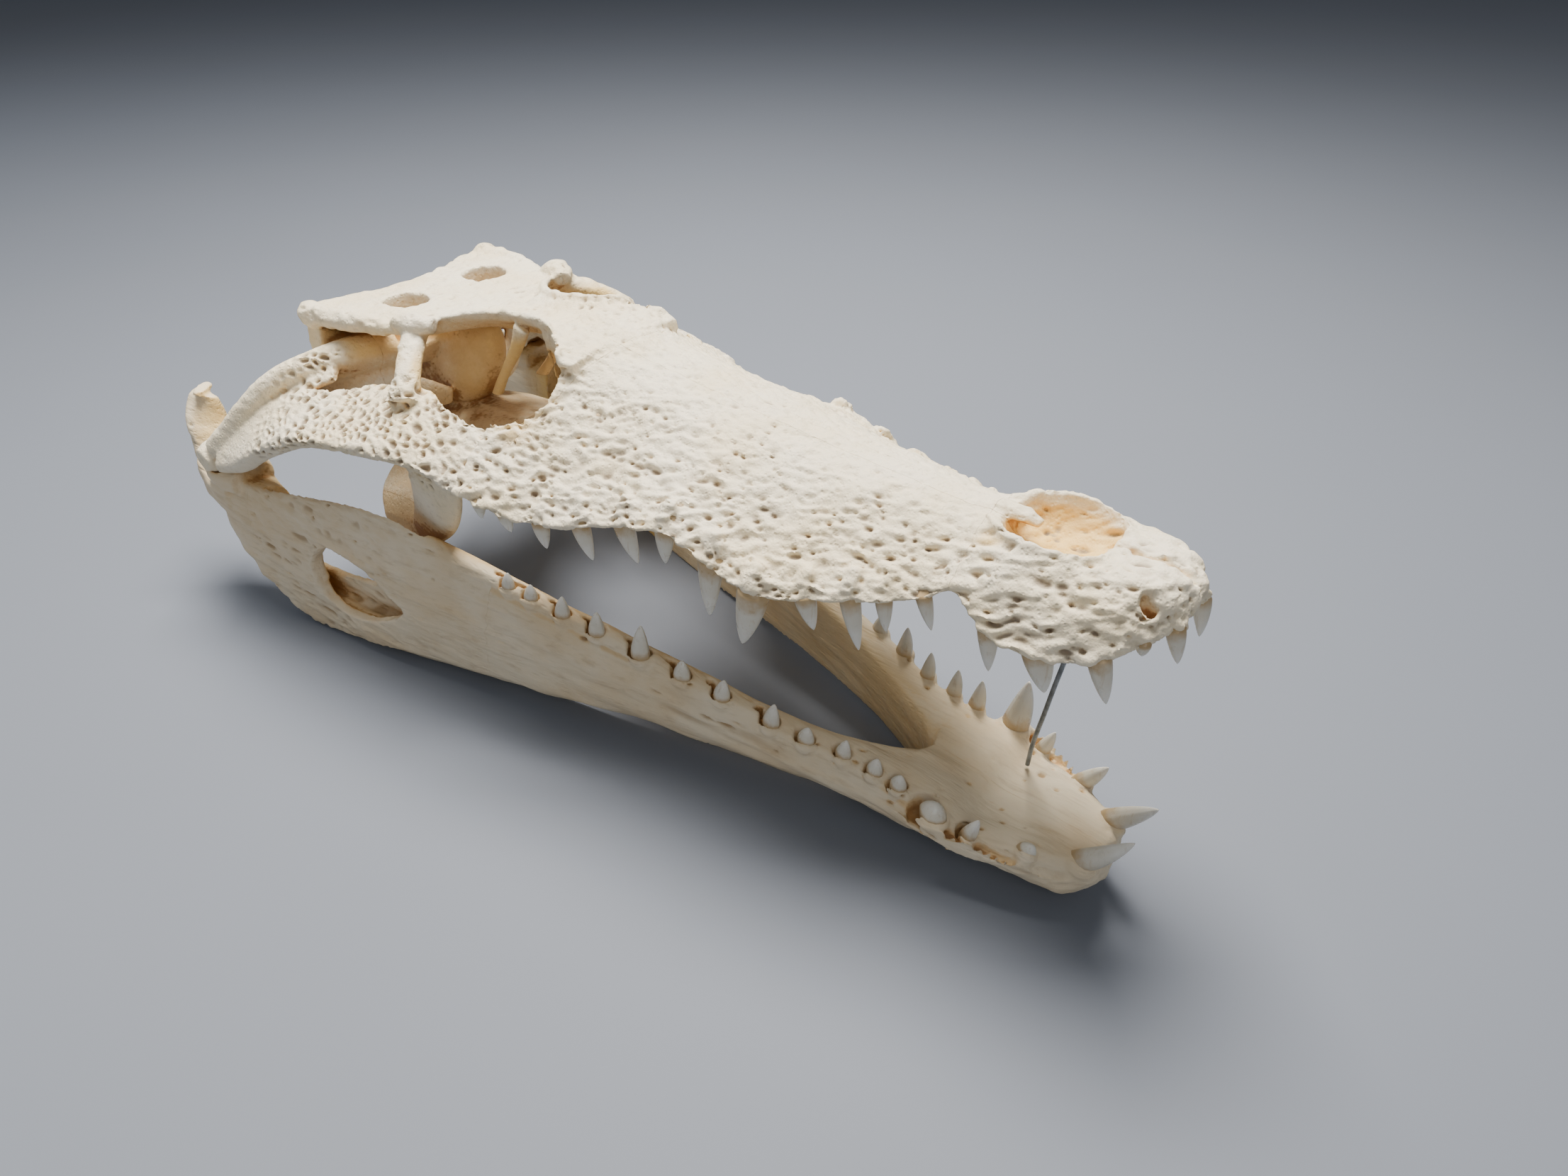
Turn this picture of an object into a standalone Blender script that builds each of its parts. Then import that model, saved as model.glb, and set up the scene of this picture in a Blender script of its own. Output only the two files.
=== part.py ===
"""Crocodile skull on its lower jaw, the mouth propped open by a bent wire.

Blender 4.5 script. Places in the bones are given as (s, y, z) in millimetres:
s runs back from the snout tip, y to the animal's left and z up. The cranium has
its own such frame, level with its tooth row, and is tipped back about the jaw
joint by the gape. The finished model is in metres, with the snout along +X.
"""
import math

import bmesh
import bpy
import numpy as np
from mathutils import Vector
from mathutils.bvhtree import BVHTree

MM = 0.001
SUTURE = 0.3            # gap between bones that touch
GAPE = math.radians(4.88)
JAW_JOINT = (426.0, 75.0)       # hinge line in the lower jaw's frame, as (s, z)
SKULL_JOINT = (436.0, -21.0)    # the same line in the cranium's frame
SIDES = {"right": -1.0, "left": 1.0}

# Rostrum, as (s, value) knots along the snout.
SNOUT_HALF_WIDTH = [(0, 4), (3, 12), (9, 21), (20, 30), (35, 35), (48, 35.5), (58, 33), (67, 30.5),
                    (76, 33.5), (88, 39.5), (100, 44), (115, 50), (132, 55.5), (150, 56.5),
                    (169, 57.5), (189, 60), (208, 65), (225, 70), (240, 75), (262, 80)]
TOOTH_EDGE = [(0, 7), (4, 4), (10, 1), (19, -3), (36, -5.3), (50, -4), (58, 0), (67, 5), (77, 0),
              (99, -3.6), (132, -6.7), (141, -4), (150, 0), (169, 6.9), (178, 6), (208, 0.4),
              (225, -1.8), (240, 0), (262, 6)]
SNOUT_TOP = [(0, 12), (3, 17), (8, 19.5), (14, 20.5), (25, 20.5), (40, 22.5), (55, 23.5), (66, 22.5),
             (80, 23), (100, 25.5), (132, 29), (167, 34.5), (200, 41), (225, 46), (245, 52),
             (262, 54)]
PALATE = [(0, 8), (10, 5), (30, 2), (60, 6), (80, 5), (130, 1), (170, 8), (225, 4), (262, 9)]
# Fall of the snout's flank below the midline, as (share of half width, share of height):
# round shoulders beside the nostril, then a low roof.
FLANK_FRONT = [(0, 0), (0.25, 0.0), (0.5, 0.06), (0.75, 0.36), (0.92, 0.72), (1, 0.97)]
FLANK_BACK = [(0, 0), (0.25, 0.09), (0.5, 0.33), (0.75, 0.63), (0.92, 0.84), (1, 0.97)]
FLANK_CHANGE = (52.0, 74.0)
SNOUT_END = 262.0

# Forehead and skull table: half width, height of the midline and of the rim.
DECK_HALF_WIDTH = [(238, 29), (246, 30), (254, 25), (264, 19), (276, 15.5), (290, 14), (302, 15.5),
                   (313, 21), (322, 31), (329, 41), (345, 44), (365, 47.5), (385, 51), (397, 53),
                   (401, 50)]
DECK_MIDLINE = [(238, 49), (255, 52), (276, 50), (302, 48.5), (329, 50), (365, 51), (401, 49)]
DECK_RIM = [(238, 46.5), (252, 51), (264, 53.5), (276, 53), (302, 51.5), (329, 50.5), (365, 51.5), (401, 50)]
DECK_DEPTH = 7.0

# Cheek bar behind the snout: top edge, outer lower edge and inner lower edge.
BAR_TOP_Y = [(238, 36), (258, 42), (270, 48), (287, 51.5), (302, 54.5), (339, 55.5), (358, 64),
             (373, 71), (399, 80), (418, 89), (424, 92)]
BAR_TOP_Z = [(238, 22), (258, 30), (270, 29.5), (302, 30), (339, 26), (358, 23), (373, 22),
             (399, 15), (418, 5), (424, 0)]
BAR_OUT_Y = [(238, 64), (260, 74), (269, 77), (304, 82.5), (351, 90.5), (382, 97), (410, 102.5),
             (424, 104)]
BAR_OUT_Z = [(238, 2), (260, 3), (269, 4.5), (280, 9), (304, 10.5), (351, 8.5), (382, -1),
             (410, -14), (424, -18)]
BAR_WALL = 8.0

# Lower jaw, as (s, value) knots.
JAW_OUT = [(0, 7), (4, 14), (12, 21), (24, 26.5), (38, 31), (57, 35), (75, 33), (90, 33), (120, 40),
           (150, 46), (190, 55), (230, 65), (280, 77), (320, 86), (360, 93), (400, 99), (427, 102),
           (444, 97)]
JAW_IN = [(78, 0.15), (88, 8), (100, 14), (120, 22), (150, 30), (190, 39), (230, 49), (280, 60),
          (320, 69), (360, 77), (400, 80), (427, 76), (444, 76)]
JAW_TOP = [(0, 22), (5, 28), (25, 30), (45, 29), (57, 32.5), (75, 34), (100, 35.5), (150, 44),
           (190, 52.5), (236, 63.5), (264, 70), (293, 76.5), (318, 82.5), (345, 80.5), (376, 75),
           (400, 71), (427, 70), (444, 68)]
JAW_BASE = [(0, 13), (5, 5), (12, 0), (60, 0), (94, 2), (120, 5), (165, 7), (190, 6.5), (240, 2.5),
            (285, 0), (380, 0), (406, 10), (427, 30), (444, 46)]
# Outer edge of the narrow underside; the outer face slants up from here.
JAW_FOOT = [(0, 1), (12, 5), (45, 9), (94, 17), (120, 24), (140, 29), (165, 36), (190, 41.5),
            (240, 54.5), (286, 67), (325, 79), (348, 86.5), (380, 94), (406, 97), (427, 99),
            (444, 91)]
# Top of the low inner wall behind the window, and the window's outline, as (s, z).
TROUGH_RIM = [(296, 46), (322, 44), (345, 31), (400, 25)]
JAW_WINDOW = [(311.5, 34), (320, 27), (335, 20), (352, 17), (364, 22), (369.5, 34), (367, 46),
              (356, 54), (344, 55), (330, 48), (319, 40)]

# Teeth: place along the jaw, crown length, root radius, lean forward, lean outward.
UPPER_TEETH = [(3.7, 12, 2.5, 0.2, 0.0), (9.5, 4, 2.0, 0.1, 0.1), (19, 15, 3.1, 0.3, 0.1),
               (36, 13, 4.0, 0.3, 0.1), (53, 15, 2.9, 0.1, 0.1), (77, 12, 2.4, 0.3, 0.1),
               (88.5, 12, 2.6, 0.1, 0.1), (99.5, 19, 3.2, 0.2, 0.1), (114, 12, 3.4, 0.3, 0.1),
               (132, 26, 5.0, -0.3, 0.05), (150, 24, 4.1, -0.15, 0.05), (170, 14, 3.4, -0.1, 0.1),
               (189.5, 15, 3.6, 0.35, 0.1), (208.5, 14, 3.4, 0.3, 0.1), (226, 10.5, 3.2, 0.1, 0.1),
               (241, 7.5, 2.8, 0.3, 0.1), (252.5, 7, 2.6, 0.0, 0.1)]
LOWER_TEETH = [(7, 23, 3.6, 0.9, 0.0), (23.5, 15, 2.8, 0.7, 0.1), (44, 12, 2.4, 0.4, 0.1),
               (58, 24, 4.4, 0.2, 0.05), (75, 15, 2.8, 0.2, 0.0), (86, 14, 2.7, 0.2, 0.0),
               (100, 14, 2.7, 0.2, 0.0), (115, 15, 3.0, 0.2, 0.0), (130, 9, 3.0, 0.2, 0.0),
               (152, 8, 3.1, 0.2, 0.0), (170, 7, 3.2, 0.1, 0.0), (189, 13, 3.6, 0.1, 0.0),
               (209, 9, 3.2, 0.1, 0.0), (225, 8, 3.0, 0.1, 0.0), (240, 6, 2.8, 0.1, 0.0),
               (251, 6, 2.6, 0.1, 0.0)]
# Crowns that broke off or are only just through, by side and number.
SHORT_CROWNS = {("lower", "right", 2): 4.0, ("lower", "right", 3): 10.0, ("lower", "right", 4): 5.0,
                ("lower", "right", 5): 5.0, ("lower", "right", 6): 6.0, ("lower", "right", 7): 7.0,
                ("lower", "right", 8): 6.0}
ROOT = 5.0              # how far a tooth is sunk in its bone
UPPER_ROW_INSET = 3.0   # tooth centres inside the snout's outline
LOWER_ROW_INSET = 5.0

WIRE_RADIUS = 0.9
WIRE_ROUTE = [(43.8, 15.1, 30.6), (42.8, 14.3, 44.0), (39.2, 10.8, 64.0), (36.6, 8.6, 80.0),
              (33.1, 5.9, 100.0), (30.2, 3.6, 118.0), (28.8, 2.6, 132.0)]


def curve(knots):
    """Return a function that runs smoothly, without overshoot, through (place, value) knots."""
    place, value = np.array(knots, float).T
    step = np.diff(place)
    slope = np.diff(value) / step
    rate = np.zeros_like(value)
    turn = slope[:-1] * slope[1:]
    same = turn > 0
    rate[1:-1][same] = 2.0 * turn[same] / (slope[:-1] + slope[1:])[same]
    rate[0], rate[-1] = slope[0], slope[-1]

    def at(s):
        s = np.clip(s, place[0], place[-1])
        i = np.clip(np.searchsorted(place, s, side="right") - 1, 0, len(step) - 1)
        t = (s - place[i]) / step[i]
        rise = value[i] + (value[i + 1] - value[i]) * t * t * (3.0 - 2.0 * t)
        bend = step[i] * t * (1.0 - t) * (rate[i] * (1.0 - t) - rate[i + 1] * t)
        return rise + bend
    return at


half_width = curve(SNOUT_HALF_WIDTH)
tooth_edge = curve(TOOTH_EDGE)
snout_top = curve(SNOUT_TOP)
palate = curve(PALATE)
flank_front = curve(FLANK_FRONT)
flank_back = curve(FLANK_BACK)
deck_half_width = curve(DECK_HALF_WIDTH)
deck_midline = curve(DECK_MIDLINE)
deck_rim = curve(DECK_RIM)
bar_top_y = curve(BAR_TOP_Y)
bar_top_z = curve(BAR_TOP_Z)
bar_out_y = curve(BAR_OUT_Y)
bar_out_z = curve(BAR_OUT_Z)
jaw_out = curve(JAW_OUT)
jaw_in = curve(JAW_IN)
jaw_top = curve(JAW_TOP)
jaw_base = curve(JAW_BASE)
jaw_foot = curve(JAW_FOOT)


def add_object(name, mesh, collection):
    """Link a new object for the mesh."""
    thing = bpy.data.objects.new(name, mesh)
    collection.objects.link(thing)
    return thing


def loft(name, rings, apex=None):
    """Skin rings of (s, y, z) points into one closed body, capped or brought to an apex."""
    rings = np.asarray(rings, float)
    count, size, _ = rings.shape
    end = rings[-1].mean(0) if apex is None else np.asarray(apex, float)
    points = np.concatenate([rings.reshape(-1, 3), rings[0].mean(0)[None], end[None]])
    points = points * (-MM, MM, MM)
    first, last = count * size, count * size + 1
    faces = []
    for i in range(count - 1):
        for j in range(size):
            a, b = i * size + j, i * size + (j + 1) % size
            faces.append((a, b, b + size, a + size))
    for j in range(size):
        k = (j + 1) % size
        faces.append((first, k, j))
        faces.append((last, (count - 1) * size + j, (count - 1) * size + k))
    mesh = bpy.data.meshes.new(name)
    mesh.from_pydata(points.tolist(), [], faces)
    bm = bmesh.new()
    bm.from_mesh(mesh)
    bmesh.ops.recalc_face_normals(bm, faces=bm.faces)
    bm.to_mesh(mesh)
    bm.free()
    return add_object(name, mesh, WORKSHOP)


def limb(name, path, across, deep, sides=10, square=2.0, up=(0.0, 0.0, 1.0), apex=None):
    """Carry a rounded section along a path: half sizes across, and deep along the up direction."""
    path = np.array(path, float)
    run = np.gradient(path, axis=0)
    run /= np.linalg.norm(run, axis=1)[:, None]
    side = np.cross(np.array(up), run)
    side /= np.linalg.norm(side, axis=1)[:, None]
    rise = np.cross(run, side)
    angle = np.arange(sides) * 2.0 * math.pi / sides
    power = 2.0 / square
    cos = np.sign(np.cos(angle)) * np.abs(np.cos(angle)) ** power
    sin = np.sign(np.sin(angle)) * np.abs(np.sin(angle)) ** power
    across = np.broadcast_to(across, len(path))[:, None, None]
    deep = np.broadcast_to(deep, len(path))[:, None, None]
    rings = (path[:, None] + across * cos[None, :, None] * side[:, None]
             + deep * sin[None, :, None] * rise[:, None])
    return loft(name, rings, apex)


def block(name, stations, inner, outer, low, high):
    """A body between four functions of s, with a square section."""
    s = np.array(stations, float)
    corners = [(inner, low), (outer, low), (outer, high), (inner, high)]
    rings = [np.stack([s, y(s) + 0 * s, z(s) + 0 * s], -1) for y, z in corners]
    return loft(name, np.stack(rings, 1))


def flat(value):
    """A function that always gives one value."""
    return lambda s: value


def mirrored(points, side):
    """The same points on one side of the skull."""
    return np.array(points, float) * (1.0, side, 1.0)


def bake(thing):
    """Put what the modifiers make into the object's own mesh."""
    bpy.context.view_layer.update()
    graph = bpy.context.evaluated_depsgraph_get()
    mesh = bpy.data.meshes.new_from_object(thing.evaluated_get(graph))
    thing.modifiers.clear()
    thing.data = mesh


def combine(base, others, operation):
    """Join closed bodies to a base, or cut them from it, and remove them."""
    group = bpy.data.collections.new(operation)
    WORKSHOP.children.link(group)
    for other in others:
        WORKSHOP.objects.unlink(other)
        group.objects.link(other)
    boolean = base.modifiers.new(operation, "BOOLEAN")
    boolean.operation = operation
    boolean.solver = "MANIFOLD"
    boolean.operand_type = "COLLECTION"
    boolean.collection = group
    bake(base)
    for other in others:
        bpy.data.objects.remove(other)
    bpy.data.collections.remove(group)
    return base


def islands(mesh):
    """Split a mesh into its closed surfaces, each a set of faces."""
    bm = bmesh.new()
    bm.from_mesh(mesh)
    bm.faces.ensure_lookup_table()
    unseen = set(range(len(bm.faces)))
    groups = []
    while unseen:
        stack = [unseen.pop()]
        group = set(stack)
        while stack:
            for edge in bm.faces[stack.pop()].edges:
                for face in edge.link_faces:
                    if face.index in unseen:
                        unseen.discard(face.index)
                        group.add(face.index)
                        stack.append(face.index)
        groups.append(group)
    bm.free()
    return groups


def keep_faces(mesh, group, name):
    """A copy of the mesh with only one group of faces."""
    bm = bmesh.new()
    bm.from_mesh(mesh)
    bm.faces.ensure_lookup_table()
    spare = [face for face in bm.faces if face.index not in group]
    bmesh.ops.delete(bm, geom=spare, context="FACES")
    bmesh.ops.triangulate(bm, faces=bm.faces)
    piece = bpy.data.meshes.new(name)
    bm.to_mesh(piece)
    volume = bm.calc_volume()
    bm.free()
    return piece, volume


def encloses(tree, place):
    """Whether a point lies inside a closed surface: rays from it leave an odd number of times."""
    odd = True
    for aim in ((0.31, 0.23, 0.92), (-0.62, 0.35, 0.7), (0.15, -0.83, -0.54)):
        aim = Vector(aim).normalized()
        crossings = 0
        point = tree.ray_cast(place, aim)[0]
        while point is not None:
            crossings += 1
            point = tree.ray_cast(point + aim * 1e-6, aim)[0]
        odd = odd and crossings % 2 == 1
    return odd


def divide(body, seeds):
    """Part a cut body into bones: each seed point names the piece that it lies in."""
    pieces = []
    for group in islands(body.data):
        mesh, volume = keep_faces(body.data, group, "piece")
        if volume > 0.0:
            points = [vertex.co.copy() for vertex in mesh.vertices]
            faces = [tuple(face.vertices) for face in mesh.polygons]
            pieces.append((mesh, BVHTree.FromPolygons(points, faces)))
    bones = {}
    for name, seed in seeds.items():
        place = Vector((-seed[0] * MM, seed[1] * MM, seed[2] * MM))
        held = [mesh for mesh, tree in pieces if encloses(tree, place)]
        if len(held) != 1:
            raise ValueError(f"{len(held)} bones hold the seed of {name}")
        bones[name] = held[0]
    bpy.data.objects.remove(body)
    return bones


def tooth(name, base, length, radius, forward, outward, up):
    """A bent, tapering crown with its root sunk in the bone."""
    side = 1.0 if base[1] > 0 else -1.0
    aim = np.array([-forward, outward * side, up])
    aim /= np.linalg.norm(aim)
    base = np.array(base)
    steps = np.array([-ROOT, 0.0, 0.55 * length, length])
    hook = np.array([0.0, 0.0, 0.02, 0.1]) * length
    path = base + steps[:, None] * aim + hook[:, None] * np.array([0.6, -side, 0.0])
    size = radius * np.array([0.9, 1.0, 0.72])
    return limb(name, path[:-1], size * 0.85, size, sides=5, up=(1.0, 0.0, 0.0), apex=path[-1])


def rostrum():
    """The solid snout, from the blunt tip to the front of the eye sockets."""
    s = np.concatenate([[0.3, 3, 8, 16, 26, 37, 48, 58, 67, 76, 88], np.arange(101, 255, 14),
                        [SNOUT_END]])
    wide, edge, top = half_width(s), tooth_edge(s), snout_top(s)
    tall = top - edge
    u = np.array([0.0, 0.25, 0.5, 0.75, 0.93, 1.0])
    start, end = FLANK_CHANGE
    back = np.clip((s - start) / (end - start), 0.0, 1.0)
    y = [wide * k for k in u]
    z = [top - tall * (flank_front(k) * (1.0 - back) + flank_back(k) * back) for k in u]
    roof = palate(s)
    for share, height in ((0.95, edge), (0.8, edge + 0.5), (0.62, roof), (0.3, roof + 1.0)):
        y.append(wide * share)
        z.append(height)
    y.append(0.0 * s)
    z.append(roof + 1.5)
    y, z = np.stack(y, 1), np.stack(z, 1)
    y = np.concatenate([y, -y[:, -2:0:-1]], 1)
    z = np.concatenate([z, z[:, -2:0:-1]], 1)
    return loft("rostrum", np.stack([s[:, None] + 0 * y, y, z], -1))


def deck():
    """Forehead bar and skull table, slightly dished between raised rims."""
    s = np.array([238, 246, 254, 262, 270, 280, 292, 304, 313, 319, 325, 330, 340, 352, 365, 380,
                  392, 401], float)
    wide, middle, rim = deck_half_width(s), deck_midline(s), deck_rim(s)
    shares = [(0.0, 0.0, 0.0), (0.45, 0.25, 0.0), (0.85, 1.0, 0.0), (1.0, 0.8, -1.5),
              (1.0, 0.6, 1.5 - DECK_DEPTH), (0.85, 0.6, -DECK_DEPTH), (0.4, 0.0, -DECK_DEPTH - 1.0)]
    y = np.stack([wide * share for share, _, _ in shares], 1)
    z = np.stack([middle + (rim - middle) * lift + drop for _, lift, drop in shares], 1)
    y = np.concatenate([y, -y[:, :0:-1]], 1)
    z = np.concatenate([z, z[:, :0:-1]], 1)
    return loft("deck", np.stack([s[:, None] + 0 * y, y, z], -1))


def cheek_bar(side):
    """Sloping plate below the eye socket and back to the jaw joint."""
    s = np.array([238, 250, 261, 270, 282, 299, 318, 337, 357, 378, 400, 424], float)
    top_y, top_z, out_y, out_z = bar_top_y(s), bar_top_z(s), bar_out_y(s), bar_out_z(s)
    inside = np.clip((306 - s) / 60, 0, 1) * 14.0
    corners = [(top_y - 3, top_z - 1), (top_y + 1, top_z + 0.5), (0.6 * top_y + 0.4 * out_y + 2.5,
               0.6 * top_z + 0.4 * out_z + 2), (out_y + 0.3, out_z + 5), (out_y - 1, out_z),
               (out_y - BAR_WALL - inside, out_z - 2),
               (top_y - 4 + 0 * inside, 0.5 * top_z + 0.5 * out_z - 2)]
    y = np.stack([c[0] for c in corners], 1) * side
    z = np.stack([c[1] for c in corners], 1)
    return loft("cheek", np.stack([s[:, None] + 0 * y, y, z], -1))


def wing(side):
    """Pterygoid: a plate that falls away sideways to a thick outer edge."""
    rows = [(-4, 290, 384, -9, 5.0), (8, 294, 382, -10, 4.5), (20, 314, 374, -13, 3.0),
            (34, 326, 370, -19, 2.8), (47, 330, 371, -28, 3.0), (55.5, 329, 369, -36, 4.0),
            (60.5, 334, 363, -43.5, 3.4)]
    rings = []
    for y, front, back, z, thick in rows:
        ends = [(front, -0.4), (front + 5, -1), (back - 5, -1), (back, -0.4), (back, 0.4),
                (back - 5, 1), (front + 5, 1), (front, 0.4)]
        rings.append([(s, y * side, z + k * thick) for s, k in ends])
    return loft("wing", rings)


def cranium_pieces():
    """Every closed body that is joined into the cranium."""
    pieces = [
        deck(),
        limb("braincase", [(331, 0, 40), (338, 0, 33), (349, 0, 26), (362, 0, 20), (380, 0, 17),
                           (396, 0, 15), (404, 0, 15)],
             [3, 8, 11, 14, 18, 19, 14], [5, 13, 21, 26, 28, 27, 20], square=2.8),
        limb("nape", [(395, -52, 36), (394, -30, 33), (393, 0, 31), (394, 30, 33), (395, 52, 36)],
             6.0, [8, 11, 13, 11, 8], up=(0.0, 0.0, 1.0), square=3.0),
        limb("condyle", [(396, 0, 13), (404, 0, 12), (409, 0, 11), (412, 0, 11)], [7, 8, 6.5, 3],
             [6, 7, 5.5, 2.5]),
        limb("palatines", [(196, 0, 5), (220, 0, 7), (250, 0, 6), (280, 0, 2), (306, 0, -6)],
             [15, 12, 10.5, 12, 18], [6, 6, 6, 6, 6], square=2.6),
            ]
    for side in SIDES.values():
        pieces += [
            cheek_bar(side),
            wing(side),
            limb("quadrate", mirrored([(433, 91, -11), (426, 88, -6), (414, 81, 6), (400, 70, 20),
                                       (387, 57, 26), (376, 41, 29), (369, 24, 28),
                                       (366, 10, 28)], side),
                 [13, 13, 13, 12, 12, 11, 10, 9], [6.5, 7.5, 7, 6.5, 7, 8, 9, 9],
                 up=(1.0, 0.0, 1.0), square=2.6),
            limb("postorbital", mirrored([(330, 37, 48), (322, 46, 43), (313, 56, 36),
                                          (308, 64, 28)], side), [6.5, 5.5, 5.5, 8],
                 [5, 4.5, 4.5, 5], up=(0.0, 0.0, 1.0)),
            limb("pillar", mirrored([(262, 18, 52), (266, 14, 36), (268, 11, 20), (268, 8, 6)],
                                    side), [3, 2.4, 2.4, 3.5], [8, 4.5, 4, 6],
                 up=(1.0, 0.0, 0.0)),
            limb("quadrate_sheet", mirrored([(412, 82, 3), (400, 76, 14), (386, 66, 23),
                                             (373, 56, 28)], side), [7, 8, 9, 8],
                 [2.5, 2.6, 2.6, 2.4], up=(0.05, 0.55 * side, 0.8), square=2.6),
            limb("throat_wall", mirrored([(419, 77, -6), (410, 70, 1), (398, 60, 8), (384, 48, 11),
                                          (370, 36, 10), (360, 24, 6), (354, 14, 3)], side),
                 [2.2, 2.4, 2.4, 2.2, 2.2, 2.2, 1.8], [9, 12, 13, 13, 12, 8, 4]),
            limb("squamosal", mirrored([(398, 47.5, 47.3), (380, 48, 47.4), (360, 45, 47.4),
                                        (344, 42, 46.8)], side), [4.5, 5, 4.5, 3.5],
                 [5, 5, 4.6, 3.6]),
            limb("brow_knob", mirrored([(337, 41, 49.5), (327, 40, 51), (318, 35, 50)], side),
                 [4, 6, 4], [3.5, 5.2, 3.5]),
            limb("orbit_strut", mirrored([(286, 14.5, 48), (293, 14.5, 38), (306, 14.5, 24),
                                          (318, 13, 11), (326, 11, 2)], side),
                 [3, 2.4, 2.2, 2.4, 3.2], [4, 2.8, 2.4, 2.8, 4], up=(1.0, 0.0, 0.0)),
            limb("ectopterygoid", mirrored([(294, 71, 13), (295, 68, 3), (301, 65, -11),
                                            (313, 62, -27), (331, 60, -43)], side),
                 [4, 4, 4, 4, 3.5], [19, 18, 15, 12, 7], up=(1.0, 0.0, 0.0), square=2.6),
        ]
    wide, edge = half_width, tooth_edge
    for side in SIDES.values():
        for s, length, radius, forward, outward in UPPER_TEETH:
            base = (s, side * (wide(s) - UPPER_ROW_INSET - 0.3 * radius), edge(s) + 0.5)
            pieces.append(tooth("crown", base, length, radius, forward, outward, -1.0))
    return pieces


def cranium_cutters():
    """Openings of the cranium, as closed bodies to cut away."""
    cutters = [
        limb("nostril", [(25.5, 0, 24), (28, 0, 25), (33, 0, 25), (44, 0, 25), (56, 0, 25),
                         (63, 0, 25), (66.5, 0, 24)], [4, 9.5, 14, 17, 14.5, 9, 4],
             [5, 10, 13.5, 15.5, 13.5, 9.5, 5], sides=14, square=2.4),
        limb("foramen", [(386, 0, 30), (420, 0, 30)], 6.5, 6.0, sides=12),
        limb("throat", [(226, 0, 26), (231, 0, 26), (250, 0, 27), (270, 0, 28)],
             [24, 32, 42, 44], [7, 10, 14, 15], sides=14, square=2.6),
        limb("nape_bay", [(437, 0, 38), (437, 0, 70)], 56, 47, sides=28, up=(1.0, 0.0, 0.0)),
    ]
    for side in SIDES.values():
        cutters += [
            limb("orbit", mirrored([(276, 33, -6), (278, 36, 20), (280, 38, 70)], side),
                 [21, 21, 21], [34, 34.5, 36], sides=18, up=(1.0, 0.0, 0.0)),
            limb("palate_window", mirrored([(256, 27, -30), (260, 28, 0), (264, 28, 24)], side),
                 [13, 13, 14], [48, 48, 44], sides=16, up=(1.0, 0.0, 0.0)),
            limb("temple_window", mirrored([(360, 21, 30), (360, 21.5, 44), (360, 22, 60)], side),
                 [8, 9, 10], [11, 12, 13], sides=12, up=(1.0, 0.0, 0.0)),
            limb("tongue_hole", mirrored([(10.5, 15, -10), (10.5, 15, 30)], side), 2.0, 2.6,
                 sides=8, up=(1.0, 0.0, 0.0)),
        ]
    return cutters


def sheet(name, corners, direction):
    """A thin wall: a flat outline given a thickness of one suture along a direction."""
    corners = np.array(corners, float)
    push = np.array(direction, float)
    push *= 0.5 * SUTURE / np.linalg.norm(push)
    return loft(name, np.stack([corners - push, corners + push]))


def across(s, half, low, high):
    """Corners of an upright wall across the skull."""
    return [(s, -half, low), (s, half, low), (s, half, high), (s, -half, high)]


def level(z, front, back, near, out):
    """Corners of a level wall."""
    return [(front, near, z), (back, near, z), (back, out, z), (front, out, z)]


def along(y, front, back, low, high):
    """Corners of an upright wall along the skull."""
    return [(front, y, low), (back, y, low), (back, y, high), (front, y, high)]


def slope(near, out, low, high):
    """Corners of the wall that leans back from the brow down to the last tooth."""
    return [(262.4 - 0.6 * z, y, z) for y, z in ((near, low), (out, low), (out, high), (near, high))]


def cranium_sutures():
    """Thin walls that part the cranium into its bones."""
    walls = [
        sheet("snout", across(68, 120, -60, 60), (1, 0, 0)),
        sheet("midline", [(60, 0, -60), (229.1, 0, -60), (229.1, 0, 34.6), (60, 0, 11.5)], (0, 1, 0)),
        sheet("midline_roof", along(0, 226, 246, 16, 36), (0, 1, 0)),
        sheet("brow", slope(-17, 17, 15, 65), (1, 0, 0.6)),
        sheet("palatine_front", across(229, 19, -30, 25), (1, 0, 0)),
        sheet("palatine_back", across(288, 24, -30, 14), (1, 0, 0)),
        sheet("forehead", across(318, 36, 24, 70), (1, 0, 0)),
        sheet("table_front", level(41.2, 317.95, 342, -30, 30), (0, 0, 1)),
        sheet("table", level(41.2, 338, 414, -62, 62), (0, 0, 1)),
        sheet("throat_roof", level(-2.6, 330, 414, -32, 32), (0, 0, 1)),
    ]
    for side in SIDES.values():
        walls += [
            sheet("brow_side", mirrored(slope(16, 120, -25, 65), side), (1, 0, 0.6)),
            sheet("nasal", mirrored([(60, -0.1, 11.4), (242, -0.1, 34.8), (242, 17, 70),
                                     (60, 17, 46.6)], side), (0, side, -0.5)),
            sheet("lacrimal", mirrored(along(50.6, 222, 272, -30, 80), side), (0, 1, 0)),
            sheet("pillar", mirrored(level(12, 254, 327, 1, 24), side), (0, 0, 1)),
            sheet("ear", mirrored(along(38, 346, 420, -30, 41.3), side), (0, 1, 0)),
            sheet("cheek", [(354, 54 * side, -20), (354, 118 * side, -20), (354, 118 * side, 50),
                            (354, 54 * side, 50)], (1, 0, 0)),
            sheet("postorbital", mirrored(level(35.6, 296, 326, 48, 78), side), (0, 0, 1)),
            sheet("strut_top", mirrored(level(1.0, 268, 334, 50, 88), side), (0, 0, 1)),
            sheet("strut_foot", mirrored(along(55.6, 296, 376, -70, -20), side), (0, 1, 0)),
        ]
    return walls


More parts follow.
